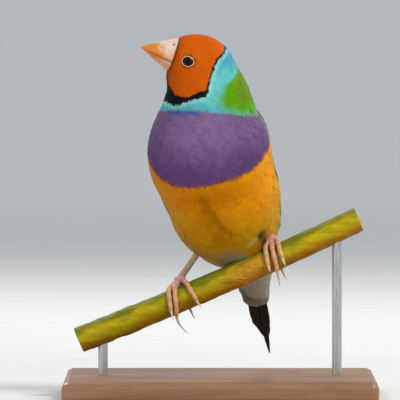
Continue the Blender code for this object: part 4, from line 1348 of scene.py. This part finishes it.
# Rows of the wing: how many feathers, the first and last root (along, turn), the first and last tip,
# their width, the first and last tip's height, and their outline
WING_ROWS = {
    "primary": (8, (-3.0, 108.0), (-8.0, 128.0), (-45.0, 120.0), (-31.0, 150.0), 2.5, 0.1, 0.9,
                "sharp"),
    "secondary": (6, (-3.0, 128.0), (-4.0, 147.0), (-28.0, 144.0), (-20.0, 159.0), 3.2, 0.9, 1.2,
                  "round"),
    "tertial": (3, (1.0, 146.0), (3.0, 157.0), (-27.0, 161.0), (-14.0, 166.0), 5.2, 1.6, 2.0,
                "round"),
    "primary_covert": (5, (7.0, 110.0), (5.0, 121.0), (-13.0, 112.0), (-11.0, 123.0), 2.4, 0.0, 0.8,
                       "round"),
    "greater_covert": (9, (5.0, 117.0), (9.0, 154.0), (-8.5, 123.0), (-5.0, 161.0), 2.9, 0.3, 1.6,
                       "round"),
    "median_covert": (8, (12.0, 116.0), (13.0, 149.0), (0.0, 120.0), (3.0, 155.0), 3.1, 0.3, 1.7,
                      "round"),
    "alula": (3, (11.5, 111.0), (12.0, 117.0), (-1.5, 110.5), (-3.0, 116.0), 2.2, 0.0, 0.3, "sharp"),
}


def wing_core(side):
    """Points of the wing's flesh: its outer face, then its inner face."""
    outer, inner = [], []
    for along in np.linspace(WING_FRONT, WING_REAR, 22):
        t = (WING_FRONT - along) / (WING_FRONT - WING_REAR)
        top = WING_TOP_TURN_FRONT + t * (WING_TOP_TURN_REAR - WING_TOP_TURN_FRONT)
        pinch = 10.0 * (1 - t) ** 3
        up = np.linspace(0, 1, 16)
        turns = WING_LOW_TURN + pinch + up * (top - WING_LOW_TURN - 2 * pinch)
        skin = np.array([on_body(along, turn, side) for turn in turns])
        thick = (WING_CORE - 0.25) * (0.5 + 0.5 * np.sin(math.pi * up))
        inner.append(settle(skin, -0.5))
        outer.append(settle(skin, thick * smooth_step(0.0, 0.5, up) - 0.3))
    return np.array(outer), np.array(inner)


def laid_path(root, tip, lift):
    straight = root + STATIONS[:, None] * (tip - root)
    low = min(lift, 0.3) - 0.25
    path = settle(straight, low + (lift - low) * STATIONS**0.85)
    return path, unit(gradient(path))


def make_wing(name, side, material, coat):
    sheaf = Sheaf()
    brown = edged(WING_BROWN, WING_EDGE, 0.84, side=-side)
    barred = edged(WING_BROWN * 0.9, WING_GREEN, 0.3, side=-side)
    green = edged(WING_GREEN, WING_GREEN * 1.25, 0.8)
    looks = {"primary": brown, "secondary": barred, "alula": brown, "primary_covert": barred}
    for row, (count, root0, root1, tip0, tip1, width, lift0, lift1, kind) in WING_ROWS.items():
        for k in range(count):
            t = k / (count - 1)
            root = [root0[i] + t * (root1[i] - root0[i]) for i in range(2)]
            tip = [tip0[i] + t * (tip1[i] - tip0[i]) for i in range(2)]
            if row == "primary":
                tip[0] -= 3.0 * math.sin(math.pi * min(1.0, 1.6 * t))
            root_point = on_body(root[0], root[1], side)
            tip_point = on_body(tip[0], tip[1], side)
            path, normals = laid_path(root_point, tip_point, lift0 + t * (lift1 - lift0))
            shape = large_feather(path, normals, width, kind, -side * 0.7 / width, 0.14)
            sheaf.add(shape, looks.get(row, green))
    sheaf.build(name + "_feathers", material, (name,))
    outer, inner = wing_core(side)
    core = raw_object(name + "_core", *slab(outer, inner))
    outward_faces(core)
    paint(core.data, np.tile(WING_GREEN * 0.6, (len(core.data.vertices), 1)))
    finish_piece(core, material)
    # Small coverts over the wrist and shoulder
    columns = outer.shape[1]
    picks = []
    for _ in range(COVERT_TRIES):
        i, j = RNG.uniform(0, 9.5), RNG.uniform(0, columns - 1.01)
        a, b = int(i), int(j)
        u, v = i - a, j - b
        point = (outer[a, b] * (1 - u) * (1 - v) + outer[a + 1, b] * u * (1 - v)
                 + outer[a, b + 1] * (1 - u) * v + outer[a + 1, b + 1] * u * v)
        picks.append(point)
    roots = spaced(np.array(picks), COVERT_GAP)
    count = len(roots)
    length = RNG.uniform(3.0, 3.9, count)
    template = tuft_template(7, 0.16)
    _, turn = body_place(roots)
    high = smooth_step(114.0, 134.0, np.abs(turn))
    laid = lay_tufts(roots, length, length * 0.62, 0.2 * high - 0.2, 0.1 + 1.25 * high, flow, template)
    tone = RNG.normal(1.0, 0.07, (count, 1, 1))
    colours = WING_GREEN * tone * (0.6 + 0.42 * smooth_step(0.1, 0.75, laid[1]))[..., None]
    tuft_pieces(name + "_coverts", roots, laid, np.clip(colours, 0, 1).reshape(-1, 3), coat)


def spaced(points, gap):
    """Random points thinned until none are nearer than a gap."""
    kept = []
    for point in points:
        if not kept or np.min(np.linalg.norm(np.array(kept) - point, axis=1)) > gap:
            kept.append(point)
    return np.array(kept)


# Tail: how far each pair reaches, its root's and tip's place aside, and its depth in the stack
TAIL_PAIRS = (
    (44.0, 0.4, 0.15, -1.5),
    (36.5, 0.9, 0.7, -0.8),
    (34.5, 1.0, 1.0, -0.2),
    (33.0, 1.1, 1.3, 0.4),
    (31.5, 1.2, 1.6, 1.0),
    (30.0, 1.3, 1.9, 1.6),
)
TAIL_ASIDE = 1.3
TAIL_COVERTS = ((7, 13.0, -3.9), (7, 17.0, -3.3), (5, 21.0, -2.7))  # count, reach, depth


def tail_feather(start, end, width, kind, bow=0.0, tilt=0.0):
    start, end = np.array(start, float), np.array(end, float)
    at = start + STATIONS[:, None] * (end - start)
    at[:, 2] += bow * np.sin(math.pi * STATIONS)
    path = place("tail", at[:, 0], at[:, 1], at[:, 2])
    normals = np.tile(-FRAMES["tail"][0][2], (len(path), 1))
    return large_feather(path, normals, width, kind, tilt, 0.12)


def make_tail(material):
    sheaf = Sheaf()
    black = edged(TAIL_BLACK, TAIL_BLACK * 2.2, 0.86)
    for k, (reach, root_aside, tip_aside, depth) in enumerate(TAIL_PAIRS):
        for side in (1, -1):
            kind = "sharp" if k == 0 else "round"
            sheaf.add(tail_feather((8.0, TAIL_ASIDE + side * root_aside, depth + 0.08 * side),
                                   (reach, TAIL_ASIDE + side * tip_aside, depth + 0.08 * side), 2.8,
                                   kind, tilt=side * 0.1), black)
    sheaf.build("tail_feathers", material, ("tail",))
    coverts = Sheaf()
    blue = edged(RUMP_BLUE, RUMP_BLUE * 1.15, 0.8)
    for count, reach, depth in TAIL_COVERTS:
        for k in range(count):
            aside = (k - (count - 1) / 2) / ((count - 1) / 2)
            bend = 0.5 * aside * aside
            coverts.add(tail_feather((reach - 9.0, 3.1 * aside, depth + 1.2 + bend),
                                     (reach - 1.2 * aside**2, 3.2 * aside, depth + bend + 0.8), 2.6,
                                     "round", -0.5, 0.25 * aside), blue)
    coverts.build("tail_coverts", material)


# Legs and feet


def stem_axes():
    q = math.radians(STEM_SLOPE)
    return (np.array([math.cos(q), 0.0, math.sin(q)]), np.array([-math.sin(q), 0.0, math.cos(q)]))


def stem_point(along, turn=0.0, radius=0.0):
    """A point by its place along the stem and its turn round it, from the top to the viewer."""
    axis, over = stem_axes()
    along = np.asarray(along, float)
    bend = STEM_BEND * (along / STEM_HALF_LENGTH) ** 2
    q = np.radians(turn)
    return (STEM_MIDDLE + along[..., None] * axis + (bend + radius * np.cos(q))[..., None] * over
            - (radius * np.sin(q))[..., None] * np.array([0.0, 1.0, 0.0]))


def stem_radius(along):
    joints = 0.0
    for middle, size in ((7.5, 0.25), (-31.0, 0.2)):
        joints = joints + size * bell(along - middle, 2.2)
    return STEM_RADIUS * (1.0 - 0.0006 * along) + joints + 0.1


def toe_path(spec, hanging=None, count=40):
    knuckle, end, reach, _ = spec
    way = math.copysign(1.0, reach)
    t = np.linspace(0.0, 1.0, count)
    limit = hanging[0] if hanging else abs(reach)
    turn = way * (KNUCKLE_TURN + t * (limit - KNUCKLE_TURN))
    radius = STEM_RADIUS + TOE_RADIUS + TOE_GAP
    path = stem_point(knuckle + t * (end - knuckle), turn, radius + 0 * t)
    if hanging:
        forward = unit(path[-1] - path[-2])
        extra = path[-1] + np.linspace(0.15, 1.0, 8)[:, None] * hanging[1] * forward
        path = np.concatenate([path, extra])
    return path


def hub_place(foot):
    return stem_point(foot["along"], 0.0, np.asarray(foot["over"]))


def leg_material():
    made, tree, shader = new_material("leg_skin", 0.5, Subsurface_Weight=0.12, Subsurface_Scale=0.0008)
    tree.links.new(mottled(tree, 1300.0, 0.78, 1.12, 4.0), shader.inputs["Base Color"])
    cells = add(tree, "ShaderNodeTexVoronoi", {"Scale": 1900.0}, feature="F1")
    tree.links.new(object_place(tree), cells.inputs["Vector"])
    bump(tree, shader, cells.outputs["Distance"], 0.05, 0.5)
    return made


def claw_material():
    made, tree, shader = new_material("claw_horn", 0.3, Subsurface_Weight=0.25, Subsurface_Scale=0.0008)
    tree.links.new(mottled(tree, 1500.0, 0.85, 1.1), shader.inputs["Base Color"])
    bump(tree, shader, noise_value(tree, object_place(tree), 2200.0), 0.02)
    return made


SHANK_SCUTE, TOE_SCUTE = 1.15, 0.72  # length of a scute
LEG_CREAM, LEG_SHADE_AND_SPECKS = rgb(212, 194, 162), rgb(128, 100, 78)
TOE_PINK, TOE_PALE, FOOT_LILAC = rgb(202, 146, 108), rgb(214, 162, 116), rgb(196, 144, 138)


def make_foot(side, foot, skin, horn):
    hub, ankle = hub_place(foot), foot["ankle"]
    work = []
    up = np.array([1.0, 0.0, 0.0])
    # Shank
    t = np.linspace(-0.12, 1.0, 30)
    shank = ankle + t[:, None] * (hub - ankle)
    wide = 1.0 + 0.35 * bell(t + 0.05, 0.2) + 0.12 * bell(1 - t, 0.14)
    wide = TARSUS_RADIUS * wide
    work.append(tube(shank, wide * 0.9, wide, 16, UP))
    paths = {}
    for toe, spec in foot["toes"].items():
        path = toe_path(spec, HANGING.get((side, toe)))
        start = hub - 0.1 * UP
        t = np.linspace(0.0, 1.0, 10)[:-1, None]
        lead = path[0] - unit(path[1] - path[0]) * 0.6
        bridge = (1 - t) ** 2 * start + 2 * t * (1 - t) * lead + t**2 * path[0]
        full = np.concatenate([bridge, path])
        s = np.linspace(0.0, 1.0, len(full))
        joints = 1.0 + 0.09 * np.cos(2 * math.pi * (s * 3.2 + 0.15))
        radii = TOE_RADIUS * (1.14 - 0.3 * s) * joints
        work.append(tube(full, radii, radii * 0.95, 14, up))
        paths[toe] = (full, radii)
        make_claw(side, toe, spec, path, radii[-1], horn)
    # Ball of the foot
    axis, over = stem_axes()
    c, s = around(18)
    rings = []
    for q in np.radians(np.linspace(6, 174, 12)):
        ring = c * axis * 1.9 * math.sin(q) + s * np.array([0, 1.0, 0]) * 1.45 * math.sin(q)
        rings.append(hub + ring + over * 1.15 * math.cos(q))
    work.append(loft(rings))
    points, faces, total = [], [], 0
    for p, f in work:
        points.append(p)
        faces += [tuple(v + total for v in face) for face in f]
        total += len(p)
    obj = raw_object("foot_" + side, np.concatenate(points), faces)
    outward_faces(obj)
    remeshed(obj, FOOT_GRAIN)
    scale_foot(obj, hub, ankle, paths)
    nodes = ["tarsus_" + side] + [f"toe_{toe}_{side}" for toe in foot["toes"]]
    finish_piece(obj, skin, nodes)


def nearest_on(path, points):
    """Distance to a path, place along it in millimetres, and the nearest point's index."""
    gaps = np.linalg.norm(points[:, None] - path[None], axis=-1)
    best = np.argmin(gaps, axis=1)
    steps = np.concatenate([[0.0], np.cumsum(np.linalg.norm(np.diff(path, axis=0), axis=1))])
    return gaps[np.arange(len(points)), best], steps[best], best


def scale_foot(obj, hub, ankle, paths):
    """Raises scutes over the front of the shank and the tops of the toes, and pads under them."""
    smooth = obj.modifiers.new("smooth", "SMOOTH")
    smooth.iterations = 3
    smooth.factor = 0.5
    applied(obj)
    points = mesh_points(obj.data)
    normals = mesh_normals(obj.data)
    best = np.full(len(points), 1e9)
    raised = np.zeros(len(points))
    colours = np.zeros((len(points), 3))
    shank = ankle + np.linspace(-0.1, 1.0, 90)[:, None] * (hub - ankle)
    lines = {"shank": (shank, SHANK_SCUTE)}
    lines.update({toe: (path, TOE_SCUTE) for toe, (path, _) in paths.items()})
    for name, (path, scute) in lines.items():
        gap, at, index = nearest_on(path, points)
        out = unit(points - path[index])
        if name == "shank":
            front = unit(np.array([-0.3, -1.0, 0.1]))
            outer = 0.5 + 0.5 * (out @ front)
        else:
            centre = stem_centre(path)[index]
            outer = 0.5 + 0.5 * (out * unit(path[index] - centre)).sum(-1)
        phase = at / scute
        step = phase - np.floor(phase)
        ridge = smooth_step(0.0, 0.18, step) * (1 - 0.55 * step)
        lift = 0.085 * ridge * smooth_step(0.35, 0.7, outer)
        lift = lift + 0.05 * np.sin(phase * 3.1) * (outer < 0.35)
        groove = 1 - 0.34 * bell(step - 0.04, 0.09) * smooth_step(0.3, 0.6, outer)
        if name == "shank":
            # painted shade: the back of the shank is darker than its front; the specks below are its
            # own colour
            tone = mix(LEG_CREAM, LEG_SHADE_AND_SPECKS, 0.35 * (1 - outer))
            tone = mix(tone, FOOT_LILAC, smooth_step(0.78, 1.0, at / at.max()))
            speck = smooth_step(0.35, 0.8, WAVES[1](points, 0.9)) * smooth_step(1.0, 0.8, at / at.max())
            tone = mix(tone, LEG_SHADE_AND_SPECKS, 0.5 * speck)
        else:
            tone = mix(FOOT_LILAC, TOE_PINK, smooth_step(0.1, 0.35, at / at.max()))
            tone = mix(tone, TOE_PALE, smooth_step(0.4, 0.9, at / at.max()))
        tone = tone * groove[:, None]
        nearer = gap < best
        best = np.where(nearer, gap, best)
        raised = np.where(nearer, lift, raised)
        colours = np.where(nearer[:, None], tone, colours)
    set_points(obj.data, points + normals * raised[:, None])
    paint(obj.data, np.clip(colours, 0, 1))


def stem_centre(path):
    """The stem's middle line nearest to points of a path."""
    axis, _ = stem_axes()
    along = (path - STEM_MIDDLE) @ axis
    return stem_point(along, 0.0, 0.0 * along)


def make_claw(side, toe, spec, toe_points, radius, horn):
    length = spec[3]
    forward = unit(toe_points[-1] - toe_points[-2])
    axis = stem_axes()[0]
    inward = np.cross(axis, forward) * math.copysign(1.0, spec[2])
    count = 22
    _, _, curl, aside = HANGING.get((side, toe), (0, 0, CLAW_CURL, CLAW_LEAN))
    curl = math.radians(curl)
    points = [toe_points[-1] - 0.25 * forward]
    for k in range(count - 1):
        q = curl * (k + 0.5) / (count - 1)
        lean = aside * k / (count - 1) * np.array([1.0, 0.0, 0.0])
        step = (length + 0.5) / (count - 1)
        points.append(points[-1] + step * unit(math.cos(q) * forward - math.sin(q) * inward + lean))
    path = np.array(points)
    t = np.linspace(0, 1, count)
    tall = radius * 0.92 * (1 - 0.86 * t**1.1)
    shape = tube(path[:-1], tall[:-1] * 0.66, tall[:-1], 16, axis, path[-1])
    obj = raw_object(f"claw_{toe}_{side}_horn", *shape)
    outward_faces(obj)
    points = mesh_points(obj.data)
    _, at, _ = nearest_on(path, points)
    tone = mix(CLAW_ROOT, CLAW_HORN, smooth_step(0.1, 0.6, at / at.max()))
    paint(obj.data, mix(tone, CLAW_TIP, smooth_step(0.75, 1.0, at / at.max())))
    finish_piece(obj, horn, (f"claw_{toe}_{side}",))


# Stem and stand


def stem_material():
    made, tree, shader = new_material("stem_bark", 0.55, Specular_IOR_Level=0.12)
    where = object_place(tree)
    turn = add(tree, "ShaderNodeMapping", {"Rotation": (0, math.radians(STEM_SLOPE), 0),
                                           "Scale": (0.16, 1.0, 1.0)})
    tree.links.new(where, turn.inputs["Vector"])
    streaks = noise_value(tree, turn.outputs["Vector"], 900.0, 5.0)
    streaked = mapped(tree, streaks, 0.3, 0.7, 0.74, 1.18)
    colour = mixed(tree, 1.0, painted(tree), streaked, "MULTIPLY")
    spots = add(tree, "ShaderNodeTexVoronoi", {"Scale": 420.0, "Randomness": 1.0}, feature="F1")
    tree.links.new(where, spots.inputs["Vector"])
    dots = mapped(tree, spots.outputs["Distance"], 0.1, 0.17, 1.0, 0.0)
    colour = mixed(tree, sum_of(tree, "MULTIPLY", dots, 0.4), colour, BARK_SPOT)
    tree.links.new(colour, shader.inputs["Base Color"])
    bump(tree, shader, sum_of(tree, "ADD", streaks, sum_of(tree, "MULTIPLY", dots, 0.5)), 0.12, 0.7)
    return made


def make_stem():
    count, sides = 420, 96
    stations = np.linspace(-STEM_HALF_LENGTH, STEM_HALF_LENGTH, count)
    turns = np.degrees(2 * math.pi * np.arange(sides) / sides)
    along = np.repeat(stations[:, None], sides, 1)
    turn = np.repeat(turns[None], count, 0)
    radius = stem_radius(along)
    base = stem_point(along, turn, radius)
    radius = radius + 0.07 * WAVES[0](base, 5.0) + 0.035 * WAVES[1](base * [0.35, 1, 0.6], 1.0)
    scar = mound(along, turn, (7.5, 95.0), (3.4, 42.0))
    radius = radius + scar * (0.22 + 0.16 * WAVES[2](base, 1.1))
    ring = bell(along - 9.0 + 1.4 * np.cos(np.radians(turn - 90)), 0.35)
    radius = radius - 0.1 * ring + 0.04 * WAVES[3](base, 0.8) * scar
    radius = np.minimum(radius, stem_radius(along) + 0.22)
    radius[[0, -1]] -= 0.35
    points = stem_point(along, turn, radius)
    rings = list(points)
    for end in (0, -1):
        rim = points[end]
        middle = rim.mean(0)
        inner = [middle + (rim - middle) * k for k in (0.82, 0.5, 0.2)]
        rings = inner[::-1] + rings if end == 0 else rings + inner
    shape = loft(rings)
    obj = raw_object("stem", *shape)
    p = mesh_points(obj.data)
    axis, over = stem_axes()
    q = p - STEM_MIDDLE
    at = q @ axis
    high = (q @ over - STEM_BEND * (at / STEM_HALF_LENGTH) ** 2) / STEM_RADIUS
    wander = 0.22 * WAVES[0](p, 16.0) + 0.12 * WAVES[2](p * [0.3, 1, 0.6], 1.7)
    under = mix(BARK_LEFT, BARK_RIGHT, smooth_step(-25.0, 5.0, at))
    tone = mix(under, BARK_SIDE, smooth_step(-0.7, 0.15, high + wander))
    tone = mix(tone, BARK_TOP, smooth_step(0.25, 0.85, high + wander))
    tone = mix(tone, BARK_UNDER, 0.4 * smooth_step(-0.6, -1.0, high))
    near = bell(at - 10.0, 6.0)
    tone = mix(tone, BARK_SCAR, np.clip(0.75 * near * smooth_step(1.0, 0.5, high), 0, 1))
    core = np.linalg.norm(q - at[:, None] * axis, axis=1) < STEM_RADIUS * 0.78
    cut = np.abs(at) > STEM_HALF_LENGTH - 0.6
    tone = np.where((core & cut)[:, None], STEM_WOOD, tone)
    paint(obj.data, np.clip(tone, 0, 1))
    finish_piece(obj, stem_material(), ("perch",))


def wood_material():
    made, tree, shader = new_material("base_wood", 0.42, Coat_Weight=0.15, Coat_Roughness=0.3)
    where = object_place(tree)
    stretch = add(tree, "ShaderNodeMapping", {"Scale": (0.12, 1.0, 1.0)})
    tree.links.new(where, stretch.inputs["Vector"])
    grain = noise_value(tree, stretch.outputs["Vector"], 260.0, 6.0, 0.6, 0.6)
    broad = noise_value(tree, stretch.outputs["Vector"], 70.0, 3.0, 0.5, 1.5)
    both = sum_of(tree, "ADD", sum_of(tree, "MULTIPLY", grain, 0.6),
                  sum_of(tree, "MULTIPLY", broad, 0.4))
    colour = ramp(tree, both, [(0.3, rgb(104, 70, 44)), (0.5, rgb(134, 93, 60)),
                               (0.7, rgb(158, 114, 76))])
    tree.links.new(colour, shader.inputs["Base Color"])
    tree.links.new(mapped(tree, grain, 0.3, 0.7, 0.36, 0.5), shader.inputs["Roughness"])
    bump(tree, shader, grain, 0.04, 0.5)
    return made


def steel_material():
    made, tree, shader = new_material("rod_steel", 0.32, Metallic=1.0)
    where = object_place(tree)
    brushed = add(tree, "ShaderNodeMapping", {"Scale": (1.0, 1.0, 0.05)})
    tree.links.new(where, brushed.inputs["Vector"])
    lines = noise_value(tree, brushed.outputs["Vector"], 5200.0, 2.0)
    tree.links.new(ramp(tree, lines, [(0.3, rgb(168, 168, 170)), (0.7, rgb(206, 206, 208))]),
                   shader.inputs["Base Color"])
    tree.links.new(mapped(tree, lines, 0.3, 0.7, 0.24, 0.4), shader.inputs["Roughness"])
    bump(tree, shader, lines, 0.01, 0.4)
    return made


def dress_stand():
    for name, material in (("stand_base", wood_material()), ("stand_rod_left", steel_material()),
                           ("stand_rod_right", steel_material())):
        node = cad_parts[name]
        node.data.materials.clear()
        node.data.materials.append(material)


# Stage


def floor_material():
    made, tree, shader = new_material("floor_pale", 0.9, Specular_IOR_Level=0.1)
    where = object_place(tree)
    grain = noise_value(tree, where, 30.0)
    near = ramp(tree, grain, [(0.3, rgb(206, 207, 206)), (0.7, rgb(212, 213, 212))])
    far = add(tree, "ShaderNodeVectorMath", operation="LENGTH")
    tree.links.new(where, far.inputs[0])
    weight = mapped(tree, far.outputs["Value"], 0.2, 2.5, 0.0, 1.0)
    tree.links.new(mixed(tree, weight, near, rgb(252, 253, 255)), shader.inputs["Base Color"])
    return made


# Place, size, power and colour
LAMPS = {
    "key": ((560.0, -640.0, 860.0), 360.0, 10.0, (1.0, 0.97, 0.93)),
    "fill": ((-760.0, -700.0, 300.0), 600.0, 2.2, (0.95, 0.97, 1.0)),
    "rim_left": ((-420.0, 700.0, 700.0), 300.0, 4.0, (1.0, 0.99, 0.97)),
    "rim_right": ((620.0, 560.0, 420.0), 300.0, 3.0, (1.0, 0.99, 0.97)),
}
FLOOR_HALF = 60000.0


def make_stage():
    half = FLOOR_HALF
    corners = [(-half, -half, 0), (half, -half, 0), (half, half, 0), (-half, half, 0)]
    floor = raw_object("floor", corners, [(0, 1, 2, 3)])
    floor.data.materials.append(floor_material())
    world = bpy.context.scene.world or bpy.data.worlds.new("studio")
    bpy.context.scene.world = world
    world.use_nodes = True
    sky = world.node_tree.nodes["Background"]
    sky.inputs["Color"].default_value = (0.94, 0.97, 1.0, 1.0)
    sky.inputs["Strength"].default_value = 0.5
    for name, (at, size, power, colour) in LAMPS.items():
        light = bpy.data.lights.new(name, "AREA")
        light.shape = "DISK"
        light.size = size * MM
        light.energy = power
        light.color = colour
        lamp = bpy.data.objects.new(name, light)
        bpy.context.scene.collection.objects.link(lamp)
        lamp.location = np.array(at) * MM
        lamp.rotation_euler = look_at(np.array(at), BODY_MIDDLE - 0.5 * UP)


def look_at(eye, target):
    return Vector(target - eye).to_track_quat("-Z", "Y").to_euler()


def make_camera():
    q = math.radians(VIEW_HEIGHT)
    eye = VIEW_MIDDLE + VIEW_DISTANCE * np.array([0.0, -math.cos(q), math.sin(q)])
    lens = bpy.data.cameras.new("camera")
    lens.sensor_width = SENSOR
    lens.sensor_fit = "HORIZONTAL"
    lens.lens = SENSOR * VIEW_DISTANCE / VIEW_WIDTH
    lens.clip_end = 200.0
    camera = bpy.data.objects.new("camera", lens)
    bpy.context.scene.collection.objects.link(camera)
    camera.location = eye * MM
    camera.rotation_euler = look_at(eye, VIEW_MIDDLE)
    bpy.context.scene.camera = camera
    bpy.context.scene.view_settings.view_transform = "Standard"


def main():
    make_camera()
    make_stage()
    skin = make_skin()
    make_coat(skin)
    vane = feather_material("flight_feathers", 0.5, 0.03, 60.0, 0.05, 0.2)
    coat = feather_material("wing_coverts", 0.55, 0.04, 14.0, 0.03, 0.15)
    make_wing("wing_left", 1, vane, coat)
    make_wing("wing_right", -1, vane, coat)
    make_tail(vane)
    make_mandible("bill_upper_horn", True, "bill_upper")
    make_mandible("bill_lower_horn", False, "bill_lower")
    make_eyes()
    skin_of_leg, horn = leg_material(), claw_material()
    for side, foot in FEET.items():
        make_foot(side, foot, skin_of_leg, horn)
    make_stem()
    dress_stand()


main()
